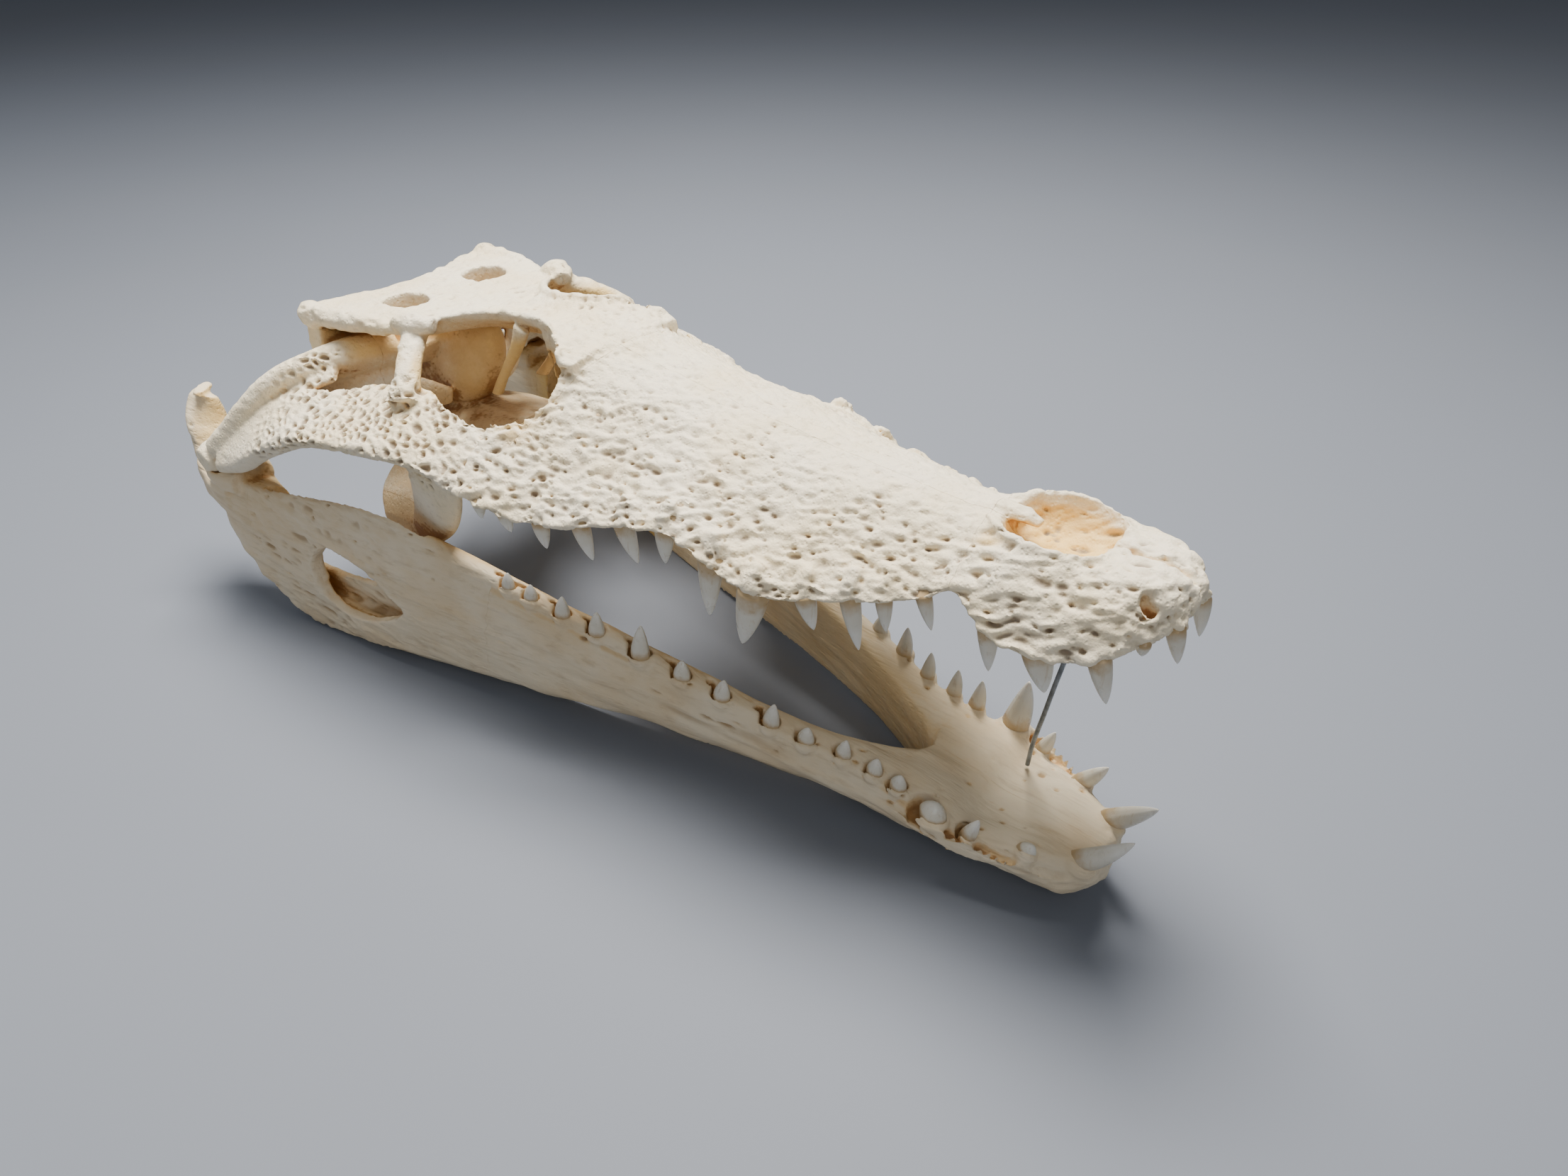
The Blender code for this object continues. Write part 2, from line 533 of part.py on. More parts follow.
def build_cranium():
    """Join the cranium, open its windows and part it into bones."""
    body = combine(rostrum(), cranium_pieces(), "UNION")
    combine(body, cranium_cutters(), "DIFFERENCE")
    late = [quadrate_condyle(side, 0.0) for side in SIDES.values()]
    late.append(limb("nasal_tongue", [(76, 0, 17.5), (67, 0, 19.6), (60, 0, 20), (54, 0, 18.6)],
                     [7, 4.4, 3.2, 1.4], [3.2, 2.6, 2.2, 1.0]))
    body = combine(body, late, "UNION")
    combine(body, cranium_sutures(), "DIFFERENCE")
    seeds = {"premaxilla": (35, 26, 1.5), "nasals": (150, 0, 29), "frontal": (290, 0, 44.5),
             "skull_table": (345, 36, 47), "braincase": (385, 0, 10), "pterygoid": (345, 0, -9),
             "palatines": (270, 0, 3)}
    for word, side in SIDES.items():
        seeds[f"maxilla_{word}"] = (150, 40 * side, 6)
        seeds[f"jugal_{word}"] = (330, 72 * side, 16)
        seeds[f"quadrate_{word}"] = (414, 81 * side, 6)
        seeds[f"ectopterygoid_{word}"] = (306, 64.5 * side, -6)
    return divide(body, seeds)


def quadrate_condyle(side, grow):
    """The cranium's double knuckle of the jaw joint, in the cranium's frame."""
    path = [(436, 77, -14), (436, 84, -14), (436, 91, -14), (436, 98, -14), (436, 105, -14)]
    return limb("knuckle", mirrored(path, side), np.array([5.5, 8, 7, 8, 5.5]) + grow,
                np.array([5.5, 8, 7, 8, 5.5]) + grow, sides=12)


def tipped(points):
    """Turn (s, y, z) points of the cranium's frame into the lower jaw's frame."""
    points = np.array(points, float)
    back = points[..., 0] - SKULL_JOINT[0]
    rise = points[..., 2] - SKULL_JOINT[1]
    s = JAW_JOINT[0] + math.cos(GAPE) * back + math.sin(GAPE) * rise
    z = JAW_JOINT[1] - math.sin(GAPE) * back + math.cos(GAPE) * rise
    return np.stack([s, points[..., 1], z], -1)


def ramus(side):
    """One half of the lower jaw, from the chin to the joint."""
    s = np.concatenate([[0.3, 4, 12, 24, 40, 57, 77.5, 82, 90, 104], np.arange(122, 285, 18),
                        [290, 308, 325, 343, 362, 382, 404, 424, 444]])
    out, inn, top, base, foot = jaw_out(s), jaw_in(s), jaw_top(s), jaw_base(s), jaw_foot(s)
    wide, tall, slant = out - inn, top - base, out - foot
    open_side = np.where(s < 78, 0.0, wide)
    outline = [(inn + 0.1 * open_side, base), (np.maximum(foot - 0.12 * wide, inn + 0.2 * open_side),
               base), (foot + 0.45 * slant, base + 0.44 * slant),
               (out - 0.12 * slant, base + 0.87 * slant), (out, base + 1.2 * slant + 2),
               (out - 0.02 * wide, base + 0.68 * tall), (out - 0.1 * wide - 1, top - 0.1 * tall),
               (out - 0.35 * wide, top), (inn + 0.25 * open_side, top - 0.04 * tall),
               (inn + 0.03 * open_side, top - 0.16 * tall), (inn, base + 0.4 * tall)]
    y = np.stack([point[0] for point in outline], 1) * side
    z = np.stack([point[1] for point in outline], 1)
    return loft("ramus", np.stack([s[:, None] + 0 * y, y, z], -1))


def jaw_pieces(word, side):
    """What is joined to one half of the lower jaw."""
    pieces = [
        limb("heel", mirrored([(422, 90, 60), (438, 90, 56), (451, 89, 62), (459, 86, 74),
                               (464, 83, 86), (465.6, 80.5, 95), (465.2, 79.8, 99.5)], side),
             [12, 12, 10.5, 9.5, 9.5, 8.5, 6.5], [14, 12, 9, 6, 5, 3.4, 2.8], square=2.8),
        limb("saddle", mirrored([(414, 90, 70), (426, 90, 71), (438, 89, 70)], side), [11, 14, 12],
             [7, 8, 8], square=2.6),
    ]
    for number, (s, length, radius, forward, outward) in enumerate(LOWER_TEETH, 1):
        length = SHORT_CROWNS.get(("lower", word, number), length)
        base = (s, side * (jaw_out(s) - LOWER_ROW_INSET), jaw_top(s) - 0.5)
        pieces.append(tooth("crown", base, length, radius, forward, outward, 1.0))
    return pieces


def jaw_cutters(side):
    """The joint's socket, the side window and the muscle trough of one jaw half."""
    s = [296, 306, 320, 345, 370, 390, 400]
    socket_path = tipped(mirrored([(436, 77, -14), (436, 84, -14), (436, 91, -14),
                                   (436, 98, -14), (436, 105, -14)], side))
    radii = np.array([5.5, 8, 7, 8, 5.5]) + SUTURE + 0.15
    return [
        limb("socket", socket_path, radii, radii, sides=12),
        loft("window", np.array([[(s, side * y(s), z) for s, z in JAW_WINDOW]
                                 for y in (lambda s: jaw_out(s) - 10.0, flat(112.0))], float)),
        block("trough", s, lambda s: side * 30, lambda s: side * (jaw_out(s) - 7.0), curve(TROUGH_RIM),
              flat(130.0)),
        block("trough_floor", s, lambda s: side * (jaw_in(s) + 4.0),
              lambda s: side * (jaw_out(s) - 5.5), flat(16.0),
              lambda s: curve(TROUGH_RIM)(s) + 2.0),
    ]


def jaw_sutures(side):
    """Thin walls that part one half of the lower jaw into its bones."""
    return [
        sheet("dentary", mirrored([(276, 20, -30), (276, 140, -30), (250, 140, 110),
                                   (250, 20, 110)], side), (1, 0, 0.2)),
        sheet("angular", mirrored(level(42, 240, 412, 20, 140), side), (0, 0, 1)),
        sheet("articular", mirrored([(409, 20, -30), (409, 140, -30), (409, 140, 140),
                                     (409, 20, 140)], side), (1, 0, 0)),
    ]


def build_jaw(word, side):
    """Join one half of the lower jaw, open it and part it into bones."""
    body = combine(ramus(side), jaw_pieces(word, side), "UNION")
    combine(body, jaw_cutters(side), "DIFFERENCE")
    combine(body, jaw_sutures(side), "DIFFERENCE")
    seeds = {f"dentary_{word}": (60, 20 * side, 12), f"surangular_{word}": (300, 76 * side, 60),
             f"angular_{word}": (300, 72 * side, 8), f"articular_{word}": (445, 86 * side, 62)}
    return divide(body, seeds)


def build_wire():
    """The bent wire that holds the mouth open."""
    route = np.array(WIRE_ROUTE, float)
    stage = np.linspace(0, 1, len(route))
    fine = np.linspace(0, 1, 25)
    smooth = np.stack([curve(list(zip(stage, route[:, k])))(fine) for k in range(3)], 1)
    line = bpy.data.curves.new("prop_wire", "CURVE")
    line.dimensions = "3D"
    line.bevel_depth = WIRE_RADIUS * MM
    line.bevel_resolution = 2
    line.use_fill_caps = True
    spline = line.splines.new("POLY")
    spline.points.add(len(smooth) - 1)
    for point, (s, y, z) in zip(spline.points, smooth):
        point.co = (-s * MM, y * MM, z * MM, 1.0)
    return line


def bone_material(name, colour, roughness, metallic=0.0):
    """A plain material for one kind of surface."""
    material = bpy.data.materials.new(name)
    material.use_nodes = True
    shader = material.node_tree.nodes["Principled BSDF"]
    shader.inputs["Base Color"].default_value = (*colour, 1.0)
    shader.inputs["Roughness"].default_value = roughness
    shader.inputs["Metallic"].default_value = metallic
    return material


def settle(base, bones):
    """Move the base so that the model's origin is the middle of its footprint."""
    bpy.context.view_layer.update()
    graph = bpy.context.evaluated_depsgraph_get()
    corners = []
    for bone in bones:
        mesh = bone.evaluated_get(graph).to_mesh()
        places = np.empty(len(mesh.vertices) * 3)
        mesh.vertices.foreach_get("co", places)
        places = np.c_[places.reshape(-1, 3), np.ones(len(mesh.vertices))]
        places = places @ np.array(bone.matrix_world).T
        corners += [places[:, :3].min(0), places[:, :3].max(0)]
    low, high = np.min(corners, 0), np.max(corners, 0)
    base.location = (-(low[0] + high[0]) / 2, -(low[1] + high[1]) / 2, -low[2])


def main():
    """Build every bone, hang the cranium on its hinge and set the model on the floor."""
    base = bpy.data.objects.new("skull_base", None)
    hinge = bpy.data.objects.new("skull_hinge", None)
    for empty in (base, hinge):
        SKULL.objects.link(empty)
    hinge.parent = base
    hinge.location = (-JAW_JOINT[0] * MM, 0.0, JAW_JOINT[1] * MM)
    hinge.rotation_euler = (0.0, -GAPE, 0.0)
    cream = bone_material("bleached_bone", (0.80, 0.73, 0.60), 0.6)
    ivory = bone_material("ivory_bone", (0.72, 0.60, 0.42), 0.55)
    steel = bone_material("wire_steel", (0.45, 0.47, 0.50), 0.35, 1.0)
    bones = []
    for name, mesh in build_cranium().items():
        bone = add_object(name, mesh, SKULL)
        bone.parent = hinge
        bone.location = (SKULL_JOINT[0] * MM, 0.0, -SKULL_JOINT[1] * MM)
        mesh.materials.append(cream)
        bones.append(bone)
    for word, side in SIDES.items():
        for name, mesh in build_jaw(word, side).items():
            bone = add_object(name, mesh, SKULL)
            bone.parent = base
            mesh.materials.append(ivory)
            bones.append(bone)
    wire = add_object("prop_wire", build_wire(), SKULL)
    wire.parent = base
    wire.data.materials.append(steel)
    settle(base, bones + [wire])


for thing in list(bpy.data.objects):
    bpy.data.objects.remove(thing)
SKULL = bpy.data.collections.new("crocodile_skull")
WORKSHOP = bpy.data.collections.new("workshop")
for collection in (SKULL, WORKSHOP):
    bpy.context.scene.collection.children.link(collection)
main()
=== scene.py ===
"""Looks of a crocodile's skull: fine bone surfaces, teeth, the prop wire and a plain studio.

Places in the bones are (s, y, z) in millimetres: s runs back from the snout tip, y to the
animal's left and z up. The cranium has its own such frame, tipped back about the jaw joint by
the gape. Each bone is lofted, joined, remeshed finely, carved with pits and grooves worked out
on whole arrays, and parted along wavy sutures into the bones of the frame.
"""
from __future__ import annotations

import itertools
import logging
import math
from dataclasses import dataclass, field
from enum import Enum
from typing import Callable, Iterable, Sequence

import bpy
import numpy as np
from mathutils import Matrix, Vector

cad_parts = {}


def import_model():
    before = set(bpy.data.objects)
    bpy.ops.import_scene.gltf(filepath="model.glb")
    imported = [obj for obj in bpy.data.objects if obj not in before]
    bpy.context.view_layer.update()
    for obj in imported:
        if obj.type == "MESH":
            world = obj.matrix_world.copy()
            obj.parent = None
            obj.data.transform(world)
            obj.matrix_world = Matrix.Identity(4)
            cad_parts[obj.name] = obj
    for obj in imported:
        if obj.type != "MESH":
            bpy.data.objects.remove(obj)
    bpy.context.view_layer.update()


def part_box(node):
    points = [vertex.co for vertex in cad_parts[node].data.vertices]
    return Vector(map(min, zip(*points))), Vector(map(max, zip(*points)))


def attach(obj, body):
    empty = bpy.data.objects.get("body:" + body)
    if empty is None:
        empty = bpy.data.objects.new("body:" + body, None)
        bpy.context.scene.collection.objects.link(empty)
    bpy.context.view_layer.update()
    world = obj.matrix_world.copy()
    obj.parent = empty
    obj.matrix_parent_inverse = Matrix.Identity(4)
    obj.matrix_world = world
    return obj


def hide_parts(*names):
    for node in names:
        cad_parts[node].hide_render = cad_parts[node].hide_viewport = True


LOG = logging.getLogger("skull")

Array = np.ndarray
Knots = Sequence[tuple[float, float]]
Cell = tuple[float, float, float]

MM = 0.001
ORIGIN_S = 233.28               # the model's origin lies this far behind the snout tip
GAPE = math.radians(4.88)
JAW_JOINT = (426.0, 75.0)       # hinge line in the lower jaw's frame, as (s, z)
SKULL_JOINT = (436.0, -21.0)    # the same line in the cranium's frame
SIDES = {"right": -1.0, "left": 1.0}
CRANIUM_GRAIN = 0.85            # edge of the fine mesh's squares
JAW_GRAIN = 0.9
SUTURE_GAP = 0.1
SUTURE_STEP = 1.2               # spacing of a suture wall's points
SHARP_ANGLE = math.radians(65)

# Rostrum, as (s, value) knots along the snout.
SNOUT_HALF_WIDTH = [(0, 4), (3, 12), (9, 21), (20, 30), (35, 35), (48, 35.5), (58, 33), (67, 30.5),
                    (76, 33.5), (88, 39.5), (100, 44), (115, 50), (132, 55.5), (150, 56.5),
                    (169, 57.5), (189, 60), (208, 65), (225, 70), (240, 75), (262, 80)]
TOOTH_EDGE = [(0, 7), (4, 4), (10, 1), (19, -3), (36, -5.3), (50, -4), (58, 0), (67, 5), (77, 0),
              (99, -3.6), (132, -6.7), (141, -4), (150, 0), (169, 6.9), (178, 6), (208, 0.4),
              (225, -1.8), (240, 0), (262, 6)]
SNOUT_TOP = [(0, 12), (3, 17), (8, 19.5), (14, 20.5), (25, 20.5), (40, 22.5), (55, 23.5), (66, 22.5),
             (80, 23), (100, 25.5), (132, 29), (167, 34.5), (200, 41), (225, 46), (245, 52),
             (262, 54)]
PALATE = [(0, 8), (10, 5), (30, 2), (60, 6), (80, 5), (130, 1), (170, 8), (225, 4), (262, 9)]
FLANK_FRONT = [(0, 0), (0.25, 0.0), (0.5, 0.06), (0.75, 0.36), (0.92, 0.72), (1, 0.97)]
FLANK_BACK = [(0, 0), (0.25, 0.09), (0.5, 0.33), (0.75, 0.63), (0.92, 0.84), (1, 0.97)]
FLANK_CHANGE = (52.0, 74.0)
SNOUT_END = 262.0
BROW_SUTURE = (262.4, 0.6)      # where the wall from brow to last tooth crosses z 0, and its lean
BROW_SUTURE_LAP = 16.5          # y where its middle and side walls overlap

# Forehead and skull table.
DECK_HALF_WIDTH = [(238, 29), (246, 30), (254, 25), (264, 19), (276, 15.5), (290, 14), (302, 15.5),
                   (313, 21), (322, 31), (329, 41), (345, 44), (365, 47.5), (385, 51), (397, 53),
                   (401, 50)]
DECK_MIDLINE = [(238, 49), (255, 52), (276, 50), (302, 48.5), (329, 50), (365, 51), (401, 49)]
DECK_RIM = [(238, 46.5), (252, 51), (264, 53.5), (276, 53), (302, 51.5), (329, 50.5), (365, 51.5),
            (401, 50)]
DECK_DEPTH = 7.0

# Cheek bar behind the snout: top edge and outer lower edge.
BAR_TOP_Y = [(238, 36), (258, 42), (270, 48), (287, 51.5), (302, 54.5), (339, 55.5), (358, 64),
             (373, 71), (399, 80), (418, 89), (424, 92)]
BAR_TOP_Z = [(238, 22), (258, 30), (270, 29.5), (302, 30), (339, 26), (358, 23), (373, 22),
             (399, 15), (418, 5), (424, 0)]
BAR_OUT_Y = [(238, 64), (260, 74), (269, 77), (304, 82.5), (351, 90.5), (382, 97), (410, 102.5),
             (424, 104)]
BAR_OUT_Z = [(238, 2), (260, 3), (269, 4.5), (280, 9), (304, 10.5), (351, 8.5), (382, -1),
             (410, -14), (424, -18)]
BAR_WALL = 8.0

# Lower jaw.
JAW_OUT = [(0, 7), (4, 14), (12, 21), (24, 26.5), (38, 31), (57, 35), (75, 33), (90, 33), (120, 40),
           (150, 46), (190, 55), (230, 65), (280, 77), (320, 86), (360, 93), (400, 99), (427, 102),
           (444, 97)]
JAW_IN = [(78, 0.15), (88, 8), (100, 14), (120, 22), (150, 30), (190, 39), (230, 49), (280, 60),
          (320, 69), (360, 77), (400, 80), (427, 76), (444, 76)]
JAW_TOP = [(0, 22), (5, 28), (25, 30), (45, 29), (57, 32.5), (75, 34), (100, 35.5), (150, 44),
           (190, 52.5), (236, 63.5), (264, 70), (293, 76.5), (318, 82.5), (345, 80.5), (376, 75),
           (400, 71), (427, 70), (444, 68)]
JAW_BASE = [(0, 13), (5, 5), (12, 0), (60, 0), (94, 2), (120, 5), (165, 7), (190, 6.5), (240, 2.5),
            (285, 0), (380, 0), (406, 10), (427, 30), (444, 46)]
JAW_FOOT = [(0, 1), (12, 5), (45, 9), (94, 17), (120, 24), (140, 29), (165, 36), (190, 41.5),
            (240, 54.5), (286, 67), (325, 79), (348, 86.5), (380, 94), (406, 97), (427, 99),
            (444, 91)]
JAW_WINDOW = [(311.5, 34), (320, 27), (335, 20), (352, 17), (364, 22), (369.5, 34), (367, 46),
              (356, 54), (344, 55), (330, 48), (319, 40)]
TROUGH_RIM = [(296, 46), (322, 44), (345, 31), (400, 25)]     # top of the inner wall behind the side window
CHIN_END = 78.0

# Teeth: place along the jaw, crown length, root radius, lean forward, lean outward.
UPPER_TEETH = [(3.7, 12, 2.5, 0.2, 0.0), (9.5, 4, 2.0, 0.1, 0.1), (19, 15, 3.1, 0.3, 0.1),
               (36, 13, 4.0, 0.3, 0.1), (53, 15, 2.9, 0.1, 0.1), (77, 12, 2.4, 0.3, 0.1),
               (88.5, 12, 2.6, 0.1, 0.1), (99.5, 19, 3.2, 0.2, 0.1), (114, 12, 3.4, 0.3, 0.1),
               (132, 26, 5.0, -0.3, 0.05), (150, 24, 4.1, -0.15, 0.05), (170, 14, 3.4, -0.1, 0.1),
               (189.5, 15, 3.6, 0.35, 0.1), (208.5, 14, 3.4, 0.3, 0.1), (226, 10.5, 3.2, 0.1, 0.1),
               (241, 7.5, 2.8, 0.3, 0.1), (252.5, 7, 2.6, 0.0, 0.1)]
LOWER_TEETH = [(7, 23, 3.6, 0.9, 0.0), (23.5, 15, 2.8, 0.7, 0.1), (44, 12, 2.4, 0.4, 0.1),
               (58, 24, 4.4, 0.2, 0.05), (75, 15, 2.8, 0.2, 0.0), (86, 14, 2.7, 0.2, 0.0),
               (100, 14, 2.7, 0.2, 0.0), (115, 15, 3.0, 0.2, 0.0), (130, 9, 3.0, 0.2, 0.0),
               (152, 8, 3.1, 0.2, 0.0), (170, 7, 3.2, 0.1, 0.0), (189, 13, 3.6, 0.1, 0.0),
               (209, 9, 3.2, 0.1, 0.0), (225, 8, 3.0, 0.1, 0.0), (240, 6, 2.8, 0.1, 0.0),
               (251, 6, 2.6, 0.1, 0.0)]
SHORT_CROWNS = {("right", 2): 4.0, ("right", 3): 10.0, ("right", 4): 5.0, ("right", 5): 5.0,
                ("right", 6): 6.0, ("right", 7): 7.0, ("right", 8): 6.0}
LENGTH_GAIN, WIDTH_GAIN = 1.12, 1.18    # these crowns run out to a fine point
UPPER_ROW_INSET = 3.0
LOWER_ROW_INSET = 5.0
SOCKET_INSET = 1.2              # how far inside the tooth row the open sockets lie

WIRE_ROUTE = [(43.8, 15.1, 30.6), (42.8, 14.3, 44.0), (39.2, 10.8, 64.0), (36.6, 8.6, 80.0),
              (33.1, 5.9, 100.0), (30.2, 3.6, 118.0), (28.8, 2.6, 132.0)]


def curve(knots: Knots) -> Callable[[Array], Array]:
    """Make a smooth function through knots: a cubic between each pair, with harmonic mean slopes.

    Args:
        knots: (place, value) pairs in rising order of place.

    Returns:
        A function of place that never overshoots the knots.
    """
    place, value = np.array(knots, float).T
    step = np.diff(place)
    slope = np.diff(value) / step
    rate = np.zeros_like(value)
    turn = slope[:-1] * slope[1:]
    same = turn > 0
    rate[1:-1][same] = 2.0 * turn[same] / (slope[:-1] + slope[1:])[same]
    rate[0], rate[-1] = slope[0], slope[-1]

    def at(s: Array) -> Array:
        """Value at a place, held level beyond the ends.

        Args:
            s: places.

        Returns:
            One value for each.
        """
        s = np.clip(s, place[0], place[-1])
        i = np.clip(np.searchsorted(place, s, side="right") - 1, 0, len(step) - 1)
        t = (s - place[i]) / step[i]
        rise = value[i] + (value[i + 1] - value[i]) * t * t * (3.0 - 2.0 * t)
        return rise + step[i] * t * (1.0 - t) * (rate[i] * (1.0 - t) - rate[i + 1] * t)
    return at


half_width, tooth_edge, snout_top = curve(SNOUT_HALF_WIDTH), curve(TOOTH_EDGE), curve(SNOUT_TOP)
jaw_out, jaw_top = curve(JAW_OUT), curve(JAW_TOP)


def ramp(value: Array, low: float, high: float) -> Array:
    """Rise smoothly from 0 at low to 1 at high: 3t squared minus 2t cubed."""
    t = np.clip((value - low) / (high - low), 0.0, 1.0)
    return t * t * (3.0 - 2.0 * t)


def spline_matrix(t: Array) -> Array:
    """Weights of four neighbours in a Catmull-Rom cubic at the shares t."""
    return 0.5 * np.stack([-t + 2 * t**2 - t**3, 2 - 5 * t**2 + 3 * t**3,
                           t + 4 * t**2 - 3 * t**3, -t**2 + t**3], -1)


def round_ring(corners: Array, fill: int) -> Array:
    """Pass a closed Catmull-Rom cubic through each ring's corners.

    Args:
        corners: (rings, corners, axes) points.
        fill: points on each span.

    Returns:
        (rings, corners * fill, axes) points.
    """
    weights = spline_matrix(np.arange(fill) / fill)
    around = np.stack([np.roll(corners, k, axis=1) for k in (1, 0, -1, -2)], 2)
    fine = np.einsum("fk,rckd->rcfd", weights, around)
    return fine.reshape(corners.shape[0], -1, corners.shape[2])


def open_path(points: Array, fill: int) -> Array:
    """Pass an open Catmull-Rom cubic through points along the first axis.

    Args:
        points: places or sizes, one row for each.
        fill: points on each span.

    Returns:
        The finer rows, the first and the last as given.
    """
    points = np.asarray(points, float)
    padded = np.concatenate([2 * points[:1] - points[1:2], points, 2 * points[-1:] - points[-2:-1]])
    weights = spline_matrix(np.arange(fill) / fill)
    count = len(points) - 1
    spans = np.stack([padded[k:k + count] for k in range(4)], 1)
    fine = np.einsum("fk,sk...->sf...", weights, spans)
    return np.concatenate([fine.reshape(count * fill, *points.shape[1:]), points[-1:]])


def mix_hash(x: Array, y: Array, z: Array, seed: int) -> Array:
    """Scramble whole lattice places into 32-bit numbers by multiplying and folding their bits.

    Args:
        x: whole places along the first axis.
        y: along the second.
        z: along the third.
        seed: which pattern.

    Returns:
        One number for each place.
    """
    h = (x.astype(np.uint32) * np.uint32(73856093)) ^ (y.astype(np.uint32) * np.uint32(19349663))
    h ^= (z.astype(np.uint32) * np.uint32(83492791)) ^ np.uint32((seed * 2654435761) % 2**32)
    for shift, factor in ((16, 0x7FEB352D), (15, 0x846CA68B)):
        h ^= h >> np.uint32(shift)
        h *= np.uint32(factor)
    return h ^ (h >> np.uint32(16))


def waves(points: Array, size: float | Sequence[float], seed: int) -> Array:
    """Smooth noise: hashed values on a lattice, blended cubically, from -1 to 1.

    Args:
        points: (n, 3) places.
        size: spacing of the lattice, one value or one for each axis.
        seed: which pattern.

    Returns:
        One value for each point.
    """
    place = points / np.asarray(size, float)
    base = np.floor(place)
    t = place - base
    t = t * t * (3.0 - 2.0 * t)
    base = base.astype(np.int64)
    total = np.zeros(len(points))
    for corner in itertools.product((0, 1), repeat=3):
        cell = base + corner
        share = np.prod(np.where(np.array(corner) == 1, t, 1.0 - t), axis=1)
        total += share * (mix_hash(*cell.T, seed) / 2.0**31 - 1.0)
    return total


def cells(points: Array, size: float | Sequence[float], seed: int) -> tuple[Array, Array, Array]:
    """Cell noise: distances to the nearest two of one random point in each lattice cell.

    Args:
        points: (n, 3) places.
        size: spacing of the cells, one value or one for each axis.
        seed: which pattern.

    Returns:
        Nearest distance, second distance and the nearest cell's own random number from 0 to 1.
    """
    place = points / np.asarray(size, float)
    base = np.floor(place).astype(np.int64)
    near = np.full(len(points), 9.0)
    second = near.copy()
    chance = np.zeros(len(points))
    for shift in itertools.product((-1, 0, 1), repeat=3):
        cell = base + shift
        h = mix_hash(*cell.T, seed)
        jitter = np.stack([(h & np.uint32(1023)), (h >> np.uint32(10)) & np.uint32(1023),
                           (h >> np.uint32(20)) & np.uint32(1023)], 1) / 1023.0
        gap = np.sqrt((((cell + jitter) - place) ** 2).sum(1))
        closer = gap < near
        second = np.where(closer, near, np.minimum(second, gap))
        chance = np.where(closer, (h * np.uint32(747796405) >> np.uint32(8)) / 2.0**24, chance)
        near = np.where(closer, gap, near)
    return near, second, chance


@dataclass(frozen=True)
class BoneFrame:
    """A frame of (s, y, z) millimetres and its tilt about the jaw joint."""

    gape: float
    joint: tuple[float, float]

    def world(self, points: Array) -> Array:
        """Turn the frame's points about the jaw joint.

        Args:
            points: (..., 3) places in this frame's millimetres.

        Returns:
            The places in metres in the model's frame.
        """
        back, rise = points[..., 0] - self.joint[0], points[..., 2] - self.joint[1]
        s = JAW_JOINT[0] + math.cos(self.gape) * back + math.sin(self.gape) * rise
        z = JAW_JOINT[1] - math.sin(self.gape) * back + math.cos(self.gape) * rise
        return np.stack([ORIGIN_S - s, points[..., 1], z], -1) * MM

    def local(self, points: Array) -> Array:
        """Undo world.

        Args:
            points: (..., 3) places in metres in the model's frame.

        Returns:
            The places as (s, y, z) in this frame's millimetres.
        """
        s, z = ORIGIN_S - points[..., 0] / MM - JAW_JOINT[0], points[..., 2] / MM - JAW_JOINT[1]
        back = math.cos(self.gape) * s - math.sin(self.gape) * z
        rise = math.sin(self.gape) * s + math.cos(self.gape) * z
        return np.stack([back + self.joint[0], points[..., 1] / MM, rise + self.joint[1]], -1)

    def local_turn(self, vectors: Array) -> Array:
        """Turn directions of the model's frame into this frame.

        Args:
            vectors: (..., 3) directions.

        Returns:
            The same directions along s, y and z.
        """
        s, z = -vectors[..., 0], vectors[..., 2]
        return np.stack([math.cos(self.gape) * s - math.sin(self.gape) * z, vectors[..., 1],
                         math.sin(self.gape) * s + math.cos(self.gape) * z], -1)


CRANIUM_FRAME = BoneFrame(GAPE, SKULL_JOINT)
JAW_FRAME = BoneFrame(0.0, JAW_JOINT)


@dataclass
class Shape:
    """A mesh as arrays: points in metres, four-sided and three-sided faces."""

    points: Array
    quads: Array
    tris: Array

    def outward(self) -> "Shape":
        """Flip the faces if the closed surface's signed volume is negative.

        Returns:
            The shape with its faces outwards.
        """
        a, b, c = (self.points[np.concatenate([self.quads[:, [0, i, i + 1]] for i in (1, 2)]
                                              + [self.tris])][:, k] for k in range(3))
        if np.einsum("ij,ij->", a, np.cross(b, c)) < 0:
            return Shape(self.points, self.quads[:, ::-1], self.tris[:, ::-1])
        return self

    def to_object(self, name: str, collection: bpy.types.Collection) -> bpy.types.Object:
        """Put the arrays into a new mesh object.

        Args:
            name: the object's and the mesh's name.
            collection: where the object is linked.

        Returns:
            The object, at the origin.
        """
        mesh = bpy.data.meshes.new(name)
        mesh.from_pydata(self.points.tolist(), [], self.quads.tolist() + self.tris.tolist())
        thing = bpy.data.objects.new(name, mesh)
        collection.objects.link(thing)
        return thing


